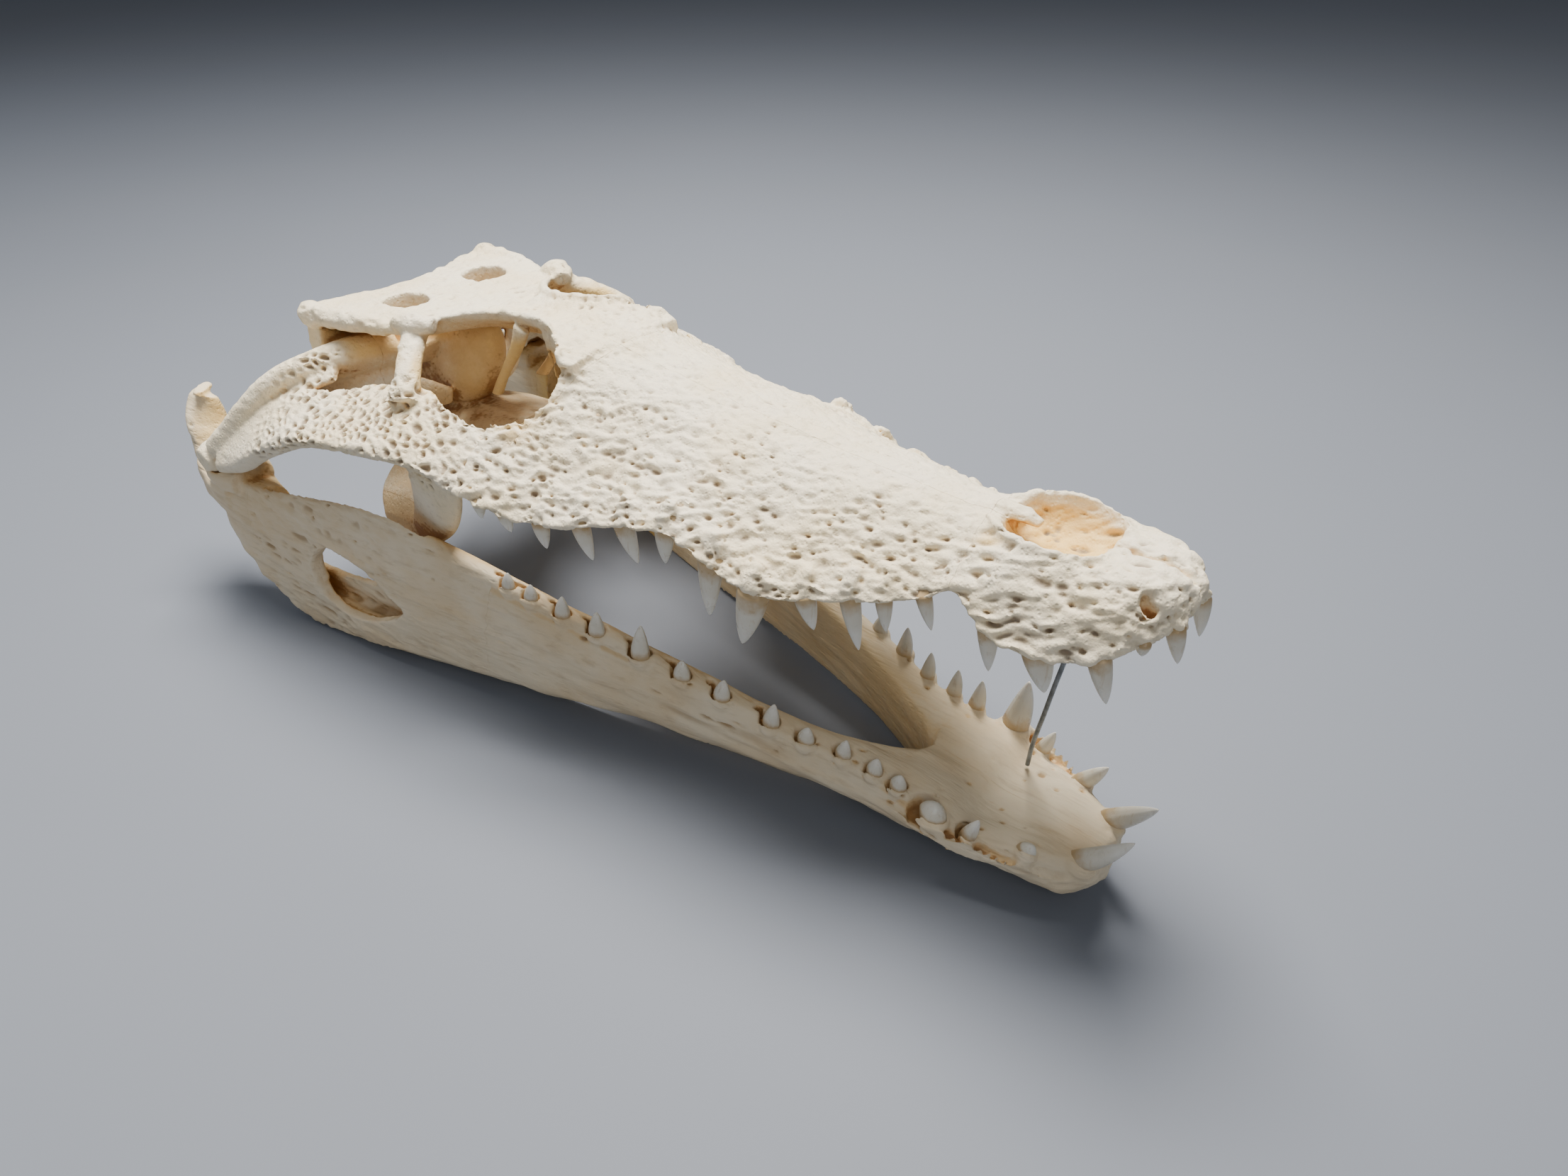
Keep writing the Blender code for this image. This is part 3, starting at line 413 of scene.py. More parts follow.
def loft(rings: Array, frame: BoneFrame, apex: Array | None = None) -> Shape:
    """Skin rings of points into one closed surface, fanned shut at both ends.

    Args:
        rings: (rings, points, 3) places in the frame's millimetres.
        frame: which frame.
        apex: where the last ring comes together, or None for its middle.

    Returns:
        The closed shape in the model's frame.
    """
    count, size, _ = rings.shape
    end = rings[-1].mean(0) if apex is None else np.asarray(apex, float)
    points = np.concatenate([rings.reshape(-1, 3), rings[0].mean(0)[None], end[None]])
    i, j = np.meshgrid(np.arange(count - 1), np.arange(size), indexing="ij")
    a, b = i * size + j, i * size + (j + 1) % size
    quads = np.stack([a, b, b + size, a + size], -1).reshape(-1, 4)
    j = np.arange(size)
    k = (j + 1) % size
    first, last = np.full(size, count * size), np.full(size, count * size + 1)
    tris = np.concatenate([np.stack([first, k, j], 1),
                           np.stack([last, (count - 1) * size + j, (count - 1) * size + k], 1)])
    return Shape(frame.world(points), quads, tris).outward()


def limb(path: Sequence, across: float | Sequence[float], deep: float | Sequence[float],
         frame: BoneFrame, square: float = 2.0, up: Sequence[float] = (0.0, 0.0, 1.0),
         side: float = 1.0, sides: int = 28, fill: int = 6) -> Shape:
    """Carry a superellipse along a Catmull-Rom path.

    Each ring is the path's place plus across * cos(a)^(2/square) sideways and
    deep * sin(a)^(2/square) along the up direction.

    Args:
        path: the places that it passes.
        across: half size sideways, one value or one for each place.
        deep: half size along up, likewise.
        frame: the frame of the places.
        square: 2 for an ellipse, more for a squarer section.
        up: the direction that deep is measured along.
        side: -1 to put it on the animal's right.
        sides: points on a ring.
        fill: rings on each span of the path.

    Returns:
        The closed shape.
    """
    places = np.array(path, float) * (1.0, side, 1.0)
    sizes = np.stack([np.broadcast_to(across, len(places)), np.broadcast_to(deep, len(places))], 1)
    fine = open_path(places, fill)
    sizes = np.clip(open_path(sizes, fill), 0.05, None)
    run = np.gradient(fine, axis=0)
    run /= np.linalg.norm(run, axis=1)[:, None]
    wide = np.cross(np.array(up), run)
    wide /= np.linalg.norm(wide, axis=1)[:, None]
    rise = np.cross(run, wide)
    angle = np.arange(sides) * 2.0 * math.pi / sides
    cos = np.sign(np.cos(angle)) * np.abs(np.cos(angle)) ** (2.0 / square)
    sin = np.sign(np.sin(angle)) * np.abs(np.sin(angle)) ** (2.0 / square)
    rings = (fine[:, None] + sizes[:, 0, None, None] * cos[None, :, None] * wide[:, None]
             + sizes[:, 1, None, None] * sin[None, :, None] * rise[:, None])
    return loft(rings, frame)


def lump(centre: Sequence[float], radii: Sequence[float], frame: BoneFrame, side: float = 1.0) -> Shape:
    """A knob: an ellipsoid of rings whose size follows a half circle from pole to pole.

    Args:
        centre: its middle.
        radii: half sizes along s, y and z.
        frame: the frame of the places.
        side: -1 to put it on the animal's right.

    Returns:
        The closed shape.
    """
    angle = np.linspace(0.12, math.pi - 0.12, 12)
    turn = np.arange(20) * 2.0 * math.pi / 20
    rings = np.stack([np.cos(angle)[:, None] * radii[0] + 0 * turn,
                      np.sin(angle)[:, None] * radii[1] * np.cos(turn),
                      np.sin(angle)[:, None] * radii[2] * np.sin(turn)], -1)
    return loft(rings + np.array(centre) * (1.0, side, 1.0), frame)


def block(stations: Sequence[float], inner: Callable, outer: Callable, low: float | Callable,
          high: float | Callable, frame: BoneFrame) -> Shape:
    """A body with a four-cornered section along s.

    Args:
        stations: places along s.
        inner: y of the inner face as a function of s.
        outer: y of the outer face.
        low: z of the bottom, a number or a function of s.
        high: z of the top, likewise.
        frame: the frame of the places.

    Returns:
        The closed shape.
    """
    s = np.array(stations, float)
    floor, roof = ((level(s) if callable(level) else level + 0 * s) for level in (low, high))
    corners = [(inner(s), floor), (outer(s), floor), (outer(s), roof), (inner(s), roof)]
    return loft(np.stack([np.stack([s, y, z], -1) for y, z in corners], 1), frame)


def wavy_wall(corners: Sequence[Sequence[float]], direction: Sequence[float], frame: BoneFrame,
              wave: float = 0.5, side: float = 1.0) -> Shape:
    """A thin wall to part bones: a flat patch pushed to and fro by smooth noise.

    The patch's place is the bilinear blend of its four corners plus wave times the noise along
    the direction, and its two faces stand half a suture's gap to each side.

    Args:
        corners: four places in order round the patch.
        direction: which way the two faces stand apart.
        frame: the frame of the places.
        wave: how far the suture wanders.
        side: -1 to put it on the animal's right.

    Returns:
        The closed wall.
    """
    a, b, c, d = np.array(corners, float) * (1.0, side, 1.0)
    push = np.array(direction, float) * (1.0, side, 1.0)
    push /= np.linalg.norm(push)
    rows = max(2, int(np.linalg.norm(d - a) / SUTURE_STEP))
    columns = max(2, int(np.linalg.norm(b - a) / SUTURE_STEP))
    v, u = np.meshgrid(np.linspace(0, 1, rows), np.linspace(0, 1, columns), indexing="ij")
    u, v = u[..., None], v[..., None]
    patch = (a * (1 - u) + b * u) * (1 - v) + (d * (1 - u) + c * u) * v
    flat = patch.reshape(-1, 3) * (1.0, side, 1.0)
    wander = wave * (waves(flat, 5.0, 71) + 0.7 * waves(flat, 2.2, 72))
    patch = patch + wander.reshape(rows, columns, 1) * push
    rings = np.concatenate([patch - 0.5 * SUTURE_GAP * push, (patch + 0.5 * SUTURE_GAP * push)[:, ::-1]], 1)
    return loft(rings, frame)


WORKSHOP = bpy.data.collections.new("workshop")
SHOW = bpy.data.collections.new("skull_looks")


def bake(thing: bpy.types.Object) -> None:
    """Put what the modifiers make into the object's own mesh.

    Args:
        thing: the object, which keeps no modifier.
    """
    bpy.context.view_layer.update()
    graph = bpy.context.evaluated_depsgraph_get()
    old = thing.data
    mesh = bpy.data.meshes.new_from_object(thing.evaluated_get(graph))
    thing.modifiers.clear()
    thing.data = mesh
    bpy.data.meshes.remove(old)


def combine(base: bpy.types.Object, shapes: Iterable[Shape], operation: str) -> None:
    """Join closed shapes to an object, or cut them from it.

    Args:
        base: the object that changes.
        shapes: what is joined or cut.
        operation: UNION or DIFFERENCE.
    """
    group = bpy.data.collections.new(operation.lower())
    WORKSHOP.children.link(group)
    others = [shape.to_object("tool", group) for shape in shapes]
    boolean = base.modifiers.new(operation, "BOOLEAN")
    boolean.operation = operation
    boolean.solver = "MANIFOLD"
    boolean.operand_type = "COLLECTION"
    boolean.collection = group
    bake(base)
    for other in others:
        bpy.data.objects.remove(other)
    bpy.data.collections.remove(group)


def refine(thing: bpy.types.Object, grain: float, softenings: int) -> None:
    """Remesh a closed object into even squares and soften its edges.

    Args:
        thing: the object that changes.
        grain: edge of the squares in millimetres.
        softenings: how many times each point moves halfway to its neighbours' middle.
    """
    remesh = thing.modifiers.new("fine", "REMESH")
    remesh.mode = "VOXEL"
    remesh.voxel_size = grain * MM
    soften = thing.modifiers.new("soft", "SMOOTH")
    soften.factor = 0.5
    soften.iterations = softenings
    bake(thing)


def read_points(mesh: bpy.types.Mesh) -> tuple[Array, Array]:
    """Read a mesh into arrays.

    Args:
        mesh: the mesh.

    Returns:
        Its points and their normals, each (n, 3).
    """
    points = np.empty(len(mesh.vertices) * 3, np.float32)
    mesh.vertices.foreach_get("co", points)
    normals = np.empty(len(mesh.vertices) * 3, np.float32)
    mesh.vertex_normals.foreach_get("vector", normals)
    return points.reshape(-1, 3).astype(float), normals.reshape(-1, 3).astype(float)


def write_value(mesh: bpy.types.Mesh, name: str, values: Array) -> None:
    """Store one number for each point of a mesh under a name that materials read."""
    layer = mesh.attributes.new(name, "FLOAT", "POINT")
    layer.data.foreach_set("value", np.ascontiguousarray(values, np.float32))


@dataclass(frozen=True)
class CraniumRelief:
    """Pits, knobs and grooves of the cranium: sizes of cells and heights in millimetres."""

    groove_cell: Cell = (9.5, 3.2, 3.2)
    groove_depth: float = 1.5
    knob_cell: Cell = (8.5, 2.4, 2.4)
    knob_height: float = 1.05
    pit_cell: Cell = (4.0, 2.6, 2.6)
    pit_depth: float = 0.7
    rough_pit_depth: float = 0.8
    margin_cell: Cell = (5.0, 4.0, 4.0)
    margin_depth: float = 1.7
    net_cell: Cell = (5.2, 4.2, 4.2)
    net_depth: float = 2.3
    table_cell: Cell = (5.5, 4.6, 4.6)
    table_depth: float = 1.5

    def __call__(self, p: Array, n: Array) -> Array:
        """Add the relief of the snout, cheek bar and skull table, and faint waves everywhere.

        Args:
            p: (n, 3) places in the cranium's frame.
            n: (n, 3) outward directions there.

        Returns:
            One height for each place, below 0 in a pit.
        """
        s, out = p[:, 0], np.abs(p[:, 1])
        facing = np.maximum(n[:, 2], 0.95 * np.sign(p[:, 1]) * n[:, 1])
        tip = ramp(-n[:, 0], 0.3, 0.7) * (1 - ramp(s, 4, 12))
        outer = np.maximum(ramp(facing, 0.05, 0.45), tip)
        bent = p + 1.2 * np.stack([waves(p, 7.0, seed) for seed in (11, 12, 13)], 1)
        height = outer * (self.snout(p, bent) + self.cheek_bar(p, bent)) + self.table(p, n, bent)
        height += ramp(s, 385, 410) * ramp(out, 50, 70) * 0.25 * waves(p, (9.0, 2.2, 2.2), 45)
        return height + 0.25 * waves(p, 14.0, 46) + 0.06 * waves(p, 2.0, 47)

    def snout(self, p: Array, bent: Array) -> Array:
        """Height on the snout.

        Cells stretched along it sink as grooves, smaller ones sink as pits, and stretched noise
        makes knobs. All deepen from the smoother midline to the tooth margin, where one more set
        of cells sinks as nerve holes.

        Args:
            p: (n, 3) places.
            bent: the same places, shaken so that no cell is regular.

        Returns:
            One height for each place.
        """
        s, out = p[:, 0], np.abs(p[:, 1])
        share = out / half_width(np.clip(s, 0, SNOUT_END))
        rough = 0.55 + 0.45 * ramp(share, 0.2, 0.7)
        rough = np.maximum(rough, 0.85 * (1 - ramp(s, 40, 90)))
        rough *= 1 - 0.8 * (1 - ramp(share, 0.1, 0.2)) * ramp(s, 66, 70) * (1 - ramp(s, 120, 150))
        low = 1.0 - ramp(p[:, 2] - tooth_edge(np.clip(s, 0, SNOUT_END)), 3.0, 15.0)
        skew = bent.copy()
        skew[:, 2] += 0.35 * bent[:, 0]
        near, _, chance = cells(skew, self.groove_cell, 21)
        groove = -(1 - ramp(near, 0.1, 0.55)) * (0.35 + 0.65 * chance)
        fine, _, luck = cells(bent, self.pit_cell, 22)
        pits = -(1 - ramp(fine, 0.05, 0.42)) * ramp(luck, 0.35, 0.7)
        knobs = waves(skew, self.knob_cell, 23)
        height = rough * (self.groove_depth * groove + self.knob_height * knobs)
        height += (self.pit_depth + self.rough_pit_depth * rough) * pits
        margin, _, fate = cells(bent, self.margin_cell, 24)
        height -= low * self.margin_depth * (1 - ramp(margin, 0.05, 0.34)) * ramp(fate, 0.25, 0.45)
        return (1.0 - ramp(s, 262, 285)) * height

    def cheek_bar(self, p: Array, bent: Array) -> Array:
        """Height on the cheek bar: each cell of a net sinks and leaves its borders as ridges.

        Args:
            p: (n, 3) places.
            bent: the same places, shaken.

        Returns:
            One height for each place.
        """
        s, out = p[:, 0], np.abs(p[:, 1])
        bar = ramp(s, 255, 285) * (1 - ramp(s, 368, 405)) * ramp(out, 46, 56)
        bar *= (1 - ramp(p[:, 2], 34, 40)) * ramp(p[:, 2], -9, -2)
        near, second, _ = cells(bent, self.net_cell, 31)
        net = ramp(second - near, 0.05, 0.5) * (1 - 0.4 * ramp(near, 0.3, 0.7))
        return bar * (0.4 * waves(bent, (6.0, 2.5, 2.5), 32) - self.net_depth * net)

    def table(self, p: Array, n: Array, bent: Array) -> Array:
        """Height on the forehead and skull table: shallow pits, and a lumpy outer rim.

        Args:
            p: (n, 3) places.
            n: (n, 3) outward directions there.
            bent: the same places, shaken.

        Returns:
            One height for each place.
        """
        s, out = p[:, 0], np.abs(p[:, 1])
        top = ramp(s, 236, 250) * ramp(p[:, 2], 42, 46) * ramp(n[:, 2], 0.3, 0.7)
        spot, _, odds = cells(bent, self.table_cell, 41)
        pits = self.table_depth * (1 - ramp(spot, 0.05, 0.45)) * (0.3 + 0.7 * odds)
        rim = ramp(s, 300, 320) * ramp(p[:, 2], 38, 44) * ramp(out - 0.1 * s, 6, 14)
        lumps = 0.7 * waves(bent, (4.0, 3.0, 3.0), 43) + 0.5 * waves(p, 8.0, 44)
        return top * (0.6 * waves(bent, 4.5, 42) - pits) + rim * lumps


@dataclass(frozen=True)
class JawRelief:
    """Grooves, nerve holes and net of the lower jaw: cell sizes and heights in millimetres."""

    streak_cell: Cell = (20.0, 2.2, 2.2)
    streak_height: float = 0.42
    swell_cell: Cell = (34.0, 5.0, 5.0)
    swell_height: float = 0.85
    furrow_cell: Cell = (26.0, 5.0, 5.0)
    furrow_depth: float = 1.1
    hole_cell: Cell = (11.0, 6.0, 6.0)
    hole_depth: float = 1.5
    net_cell: Cell = (9.0, 4.2, 4.2)
    net_depth: float = 0.8

    def __call__(self, p: Array, n: Array) -> Array:
        """Height on the lower jaw.

        Noise stretched along the jaw makes streaks and swellings, fainter on the inner face.
        Long cells sink as furrows, sparse ones as nerve holes that crowd towards the tooth row
        and the chin, and the rear outer face has a faint net.

        Args:
            p: (n, 3) places in the lower jaw's frame.
            n: (n, 3) outward directions there.

        Returns:
            One height for each place.
        """
        s, out = p[:, 0], np.abs(p[:, 1])
        facing = np.sign(p[:, 1]) * n[:, 1]
        outer = np.maximum(ramp(facing, 0.0, 0.4), ramp(-n[:, 0], 0.4, 0.8) * (1 - ramp(s, 6, 20)))
        lane = np.stack([s, 0.95 * out - 0.22 * s, p[:, 2] - 0.12 * s], 1)
        lane = lane + 0.8 * np.stack([waves(p, 9.0, seed) for seed in (51, 52, 53)], 1)
        height = self.streak_height * waves(lane, self.streak_cell, 54)
        height += self.swell_height * waves(lane, self.swell_cell, 55)
        height *= 1 - 0.65 * ramp(-facing, 0.1, 0.6)
        near, _, luck = cells(lane, self.furrow_cell, 56)
        height -= outer * self.furrow_depth * (1 - ramp(near, 0.05, 0.22)) * ramp(luck, 0.35, 0.6)
        hole, _, chance = cells(lane, self.hole_cell, 57)
        crowd = 0.8 - 0.35 * (1 - ramp(s, 60, 170)) - 0.25 * ramp(p[:, 2] / (jaw_top(s) + 1.0), 0.6, 0.95)
        open_face = np.maximum(outer, ramp(n[:, 2], 0.2, 0.6))
        holes = (1 - ramp(hole, 0.05, 0.2)) * ramp(chance, crowd, crowd + 0.06)
        height -= open_face * self.hole_depth * holes
        near, second, _ = cells(lane + waves(p, 6.0, 58)[:, None], self.net_cell, 59)
        rear = ramp(s, 285, 330) * (1 - ramp(s, 395, 425)) * outer
        height -= rear * self.net_depth * ramp(second - near, 0.05, 0.6)
        height += (1 - ramp(s, 50, 110)) * outer * 0.35 * waves(lane, (5.0, 2.5, 2.5), 60)
        height *= 1 - 0.75 * ramp(p[:, 2], 78, 88)
        return height + 0.3 * waves(p, 16.0, 61) + 0.05 * waves(p, 2.0, 62)


def yellow_shade_cranium(p: Array, n: Array) -> Array:
    """Share of yellow painted shade in the cranium's hollows: the nostril, the eye sockets and the ear
    recess.

    Args:
        p: (n, 3) places in the bones' frame.
        n: (n, 3) outward directions there.

    Returns:
        One share from 0 to 1 for each place.
    """
    s, out, z = p[:, 0], np.abs(p[:, 1]), p[:, 2]
    nostril = ramp(s, 24, 30) * (1 - ramp(s, 62, 70)) * (1 - ramp(out, 15.5, 18.5))
    nostril *= ramp(snout_top(s) - z, 1.5, 6.0) * ramp(z, 4, 8)
    socket = ramp(s, 236, 256) * (1 - ramp(s, 345, 360)) * (1 - ramp(out, 52, 60))
    socket *= (1 - ramp(z, 40, 47)) * ramp(z, -6, 6) * ramp(0.9 - np.abs(n[:, 2]), 0.0, 0.2)
    ear = ramp(s, 342, 350) * (1 - ramp(s, 398, 408)) * ramp(z, 26, 32) * (1 - ramp(z, 40, 43))
    return np.maximum(np.maximum(nostril, 0.8 * socket), ear * (1 - ramp(out, 46, 54)))


def yellow_shade_jaw(p: Array, n: Array) -> Array:
    """Share of yellow painted shade on the lower jaw's inner faces, the joint and behind the side window.

    Args:
        p: (n, 3) places in the bones' frame.
        n: (n, 3) outward directions there.

    Returns:
        One share from 0 to 1 for each place.
    """
    s, out = p[:, 0], np.abs(p[:, 1])
    inward = ramp(-np.sign(p[:, 1]) * n[:, 1], 0.2, 0.8) * (0.25 + 0.75 * ramp(s, 290, 310))
    heel = 0.7 * ramp(s, 444, 456) * ramp(-n[:, 0], 0.3, 0.8)
    return np.maximum(inward * (1 - ramp(s, 400, 420)) * ramp(out, 3, 8), heel)


def socket_shade(p: Array) -> Array:
    """Share of darkness in the sockets of the lower tooth row, below the jaw's top edge.

    Args:
        p: (n, 3) places in the lower jaw's frame.

    Returns:
        One share from 0 to 1 for each place.
    """
    s, out, z = p[:, 0], np.abs(p[:, 1]), p[:, 2]
    away = np.abs(out - (jaw_out(s) - LOWER_ROW_INSET - SOCKET_INSET))
    within = (1 - ramp(away, 3.0, 4.4)) * ramp(s, 30, 40) * (1 - ramp(s, 258, 264))
    return within * ramp(jaw_top(s) - z, 2.0, 5.5) * (1 - ramp(jaw_top(s) - z, 11.0, 13.0))


def openness(points: Array, normals: Array) -> Array:
    """Share of the sky that reaches each point.

    For each of many directions spread on a sphere by the golden angle, points are dropped on a
    coarse grid across it, and those near the top of their square are lit, weighted by the
    cosine between their normal and the direction.

    Args:
        points: (n, 3) places in metres.
        normals: (n, 3) outward directions.

    Returns:
        One share from 0 to 1 for each point.
    """
    count, grid, slack = 72, 1.7 * MM, 1.6 * MM
    turn = np.arange(count) * math.pi * (3.0 - math.sqrt(5.0))
    height = 1.0 - (2.0 * np.arange(count) + 1.0) / count
    flat = np.sqrt(1.0 - height**2)
    lit, total = np.zeros(len(points)), np.full(len(points), 1e-6)
    for aim in np.stack([flat * np.cos(turn), flat * np.sin(turn), height], 1):
        across = np.cross(aim, (0.3, 0.5, 0.8))
        across /= np.linalg.norm(across)
        u, v = points @ across, points @ np.cross(aim, across)
        u, v = ((w - w.min()) / grid for w in (u, v))
        place = u.astype(np.int64) * (int(v.max()) + 2) + v.astype(np.int64)
        level = points @ aim
        top = np.full(place.max() + 1, -1e9)
        np.maximum.at(top, place, level)
        face = np.clip(normals @ aim, 0.0, 1.0)
        lit += face * (level > top[place] - slack)
        total += face
    return lit / total


class Sheen(Enum):
    """Kinds of surface."""

    CRANIUM = "cranium_bone"
    JAW = "jaw_bone"
    ENAMEL = "tooth_enamel"
    STEEL = "prop_steel"


class NodeBench:
    """A new material and short ways to add and join its nodes."""

    def __init__(self, name: str) -> None:
        """Start a material with its Principled shader.

        Args:
            name: the material's name.
        """
        self.material = bpy.data.materials.new(name)
        self.material.use_nodes = True
        self.tree = self.material.node_tree
        self.shader = self.tree.nodes["Principled BSDF"]
        self.place = self.tree.nodes.new("ShaderNodeTexCoord").outputs["Object"]

    def feed(self, socket: bpy.types.NodeSocket, value: object) -> None:
        """Join an output to a socket, or set a plain value on it.

        Args:
            socket: the input that is fed.
            value: another node's output, or a plain value.
        """
        if isinstance(value, bpy.types.NodeSocket):
            self.tree.links.new(value, socket)
        else:
            socket.default_value = value

    def math(self, operation: str, *values: object, clamp: bool = False) -> bpy.types.NodeSocket:
        """Add a Math node.

        Args:
            operation: what it works out.
            values: outputs or numbers for its inputs.
            clamp: whether the result is kept from 0 to 1.

        Returns:
            Its output.
        """
        node = self.tree.nodes.new("ShaderNodeMath")
        node.operation = operation
        node.use_clamp = clamp
        for socket, value in zip(node.inputs, values):
            self.feed(socket, value)
        return node.outputs[0]

    def ramp(self, value: bpy.types.NodeSocket, low: float, high: float,
             to_low: float = 0.0, to_high: float = 1.0) -> bpy.types.NodeSocket:
        """Map a range of a value smoothly onto another range.

        Args:
            value: the output that is mapped.
            low: where the range starts.
            high: where it ends.
            to_low: what low becomes.
            to_high: what high becomes.

        Returns:
            The mapped output.
        """
        node = self.tree.nodes.new("ShaderNodeMapRange")
        node.interpolation_type = "SMOOTHSTEP"
        for socket, number in zip(node.inputs, (value, low, high, to_low, to_high)):
            self.feed(socket, number)
        return node.outputs[0]

    def mix(self, share: object, one: object, other: object) -> bpy.types.NodeSocket:
        """Blend two colours.

        Args:
            share: how much of the other colour there is, from 0 to 1.
            one: a colour or an output.
            other: likewise.

        Returns:
            The blended colour.
        """
        node = self.tree.nodes.new("ShaderNodeMix")
        node.data_type = "RGBA"
        self.feed(node.inputs["Factor"], share)
        self.feed(node.inputs["A"], one)
        self.feed(node.inputs["B"], other)
        return node.outputs["Result"]

    def attribute(self, name: str) -> bpy.types.NodeSocket:
        """Read one of the numbers stored on the mesh's points.

        Args:
            name: the number's name.

        Returns:
            The number as an output.
        """
        node = self.tree.nodes.new("ShaderNodeAttribute")
        node.attribute_name = name
        return node.outputs["Fac"]

    def stretched(self, scale: Sequence[float]) -> bpy.types.NodeSocket:
        """Scale the Object coordinates.

        Args:
            scale: factor along each axis, below 1 to stretch a pattern.

        Returns:
            The scaled coordinates.
        """
        node = self.tree.nodes.new("ShaderNodeMapping")
        self.feed(node.inputs["Vector"], self.place)
        node.inputs["Scale"].default_value = scale
        return node.outputs["Vector"]

    def noise(self, vector: object, scale: float, detail: float = 4.0,
              rough: float = 0.55) -> bpy.types.NodeSocket:
        """Add a Noise node.

        Args:
            vector: the coordinates that it reads.
            scale: how fine it is.
            detail: how many finer layers it has.
            rough: weight of the finer layers.

        Returns:
            Its value.
        """
        node = self.tree.nodes.new("ShaderNodeTexNoise")
        self.feed(node.inputs["Vector"], vector)
        node.inputs["Scale"].default_value = scale
        node.inputs["Detail"].default_value = detail
        node.inputs["Roughness"].default_value = rough
        return node.outputs["Fac"]

    def pores(self, vector: object, scale: float) -> bpy.types.NodeSocket:
        """Add a Voronoi node.

        Args:
            vector: the coordinates that it reads.
            scale: how fine it is.

        Returns:
            The distance to its nearest point.
        """
        node = self.tree.nodes.new("ShaderNodeTexVoronoi")
        self.feed(node.inputs["Vector"], vector)
        node.inputs["Scale"].default_value = scale
        return node.outputs["Distance"]

    def bump(self, height: object, distance: float, strength: float = 1.0) -> None:
        """Raise the shader's surface by a height.

        Args:
            height: an output, about 0 to 1.
            distance: metres that a height of 1 stands for.
            strength: share of it that is used.
        """
        node = self.tree.nodes.new("ShaderNodeBump")
        node.inputs["Strength"].default_value = strength
        node.inputs["Distance"].default_value = distance
        self.feed(node.inputs["Height"], height)
        self.feed(self.shader.inputs["Normal"], node.outputs["Normal"])


@dataclass(frozen=True)
class BoneFinish:
    """Dry bone, cream on the open surface, with painted shade: ochre and yellow in hollows, brown in pits
    and deep recesses.
    """

    sheen: Sheen
    light: tuple[float, float, float] = (0.88, 0.79, 0.61)
    warm: tuple[float, float, float] = (0.84, 0.72, 0.49)
    # yellow, ochre and deep paint shade in hollows; pit colours the grain streaks and the painted shade in
    # pits
    yellow: tuple[float, float, float] = (0.84, 0.56, 0.17)
    ochre: tuple[float, float, float] = (0.70, 0.47, 0.20)
    deep: tuple[float, float, float] = (0.34, 0.14, 0.035)
    pit: tuple[float, float, float] = (0.25, 0.19, 0.13)
    pit_shade_share: float = 0.85
    streak: float = 0.32
    stretch: tuple[float, float, float] = (1.0, 1.0, 1.0)

    def material(self) -> bpy.types.Material:
        """Make the finish from noise, with painted shade from the stored relief, openness and hollow mask.

        Returns:
            The material.
        """
        bench = NodeBench(self.sheen.value)
        open_sky, relief = bench.attribute("openness"), bench.attribute("relief")
        patches = bench.noise(bench.place, 28.0, 5.0)
        grain = bench.noise(bench.stretched(self.stretch), 260.0, 6.0, 0.65)
        colour = bench.mix(bench.ramp(patches, 0.35, 0.68), (*self.light, 1), (*self.warm, 1))
        streaks = bench.math("MULTIPLY", bench.ramp(grain, 0.5, 0.75), self.streak)
        colour = bench.mix(streaks, colour, (*self.pit, 1))
        # painted shade: ochre where little sky reaches the bone
        recess_shade = bench.ramp(bench.math("ADD", open_sky, bench.math("MULTIPLY", patches, 0.16)),
                            0.50, 0.22)
        # painted shade: yellow in the marked hollows
        yellow_shade_share = bench.math("MULTIPLY", bench.attribute("yellow_hollow_shade"), bench.ramp(patches, 0.2, 0.6, 0.6, 1.0))
        colour = bench.mix(bench.math("MULTIPLY", yellow_shade_share, 0.95), colour, (*self.yellow, 1))
        colour = bench.mix(bench.math("MULTIPLY", recess_shade, 0.6), colour, (*self.ochre, 1))
        # painted shade: deep brown where almost no sky reaches
        deep_recess_shade = bench.ramp(bench.math("ADD", open_sky, bench.math("MULTIPLY", grain, 0.12)), 0.21, 0.08)
        colour = bench.mix(bench.math("MULTIPLY", deep_recess_shade, 0.85), colour, (*self.deep, 1))
        # painted shade: pit colour in the carved pits, stronger the deeper they sink
        pit_shade = bench.ramp(bench.math("ADD", relief, bench.math("MULTIPLY", grain, 0.3)), -0.35, -1.4)
        colour = bench.mix(bench.math("MULTIPLY", pit_shade, self.pit_shade_share), colour, (*self.pit, 1))
        bench.feed(bench.shader.inputs["Base Color"], colour)
        bench.feed(bench.shader.inputs["Roughness"], bench.ramp(grain, 0.2, 0.8, 0.48, 0.72))
        bench.shader.inputs["Subsurface Weight"].default_value = 0.06
        bench.shader.inputs["Subsurface Radius"].default_value = (0.004, 0.0025, 0.0015)
        bench.shader.inputs["Specular IOR Level"].default_value = 0.35
        fine = bench.noise(bench.stretched(self.stretch), 900.0, 5.0, 0.6)
        holes = bench.ramp(bench.pores(bench.stretched(self.stretch), 520.0), 0.05, 0.4)
        coarse = bench.noise(bench.stretched(self.stretch), 330.0, 3.0, 0.6)
        height = bench.math("ADD", bench.math("MULTIPLY", fine, 0.5), bench.math("MULTIPLY", holes, 0.4))
        height = bench.math("ADD", height, bench.math("MULTIPLY", coarse, 1.1))
        bench.bump(height, 0.0006, 0.75)
        return bench.material


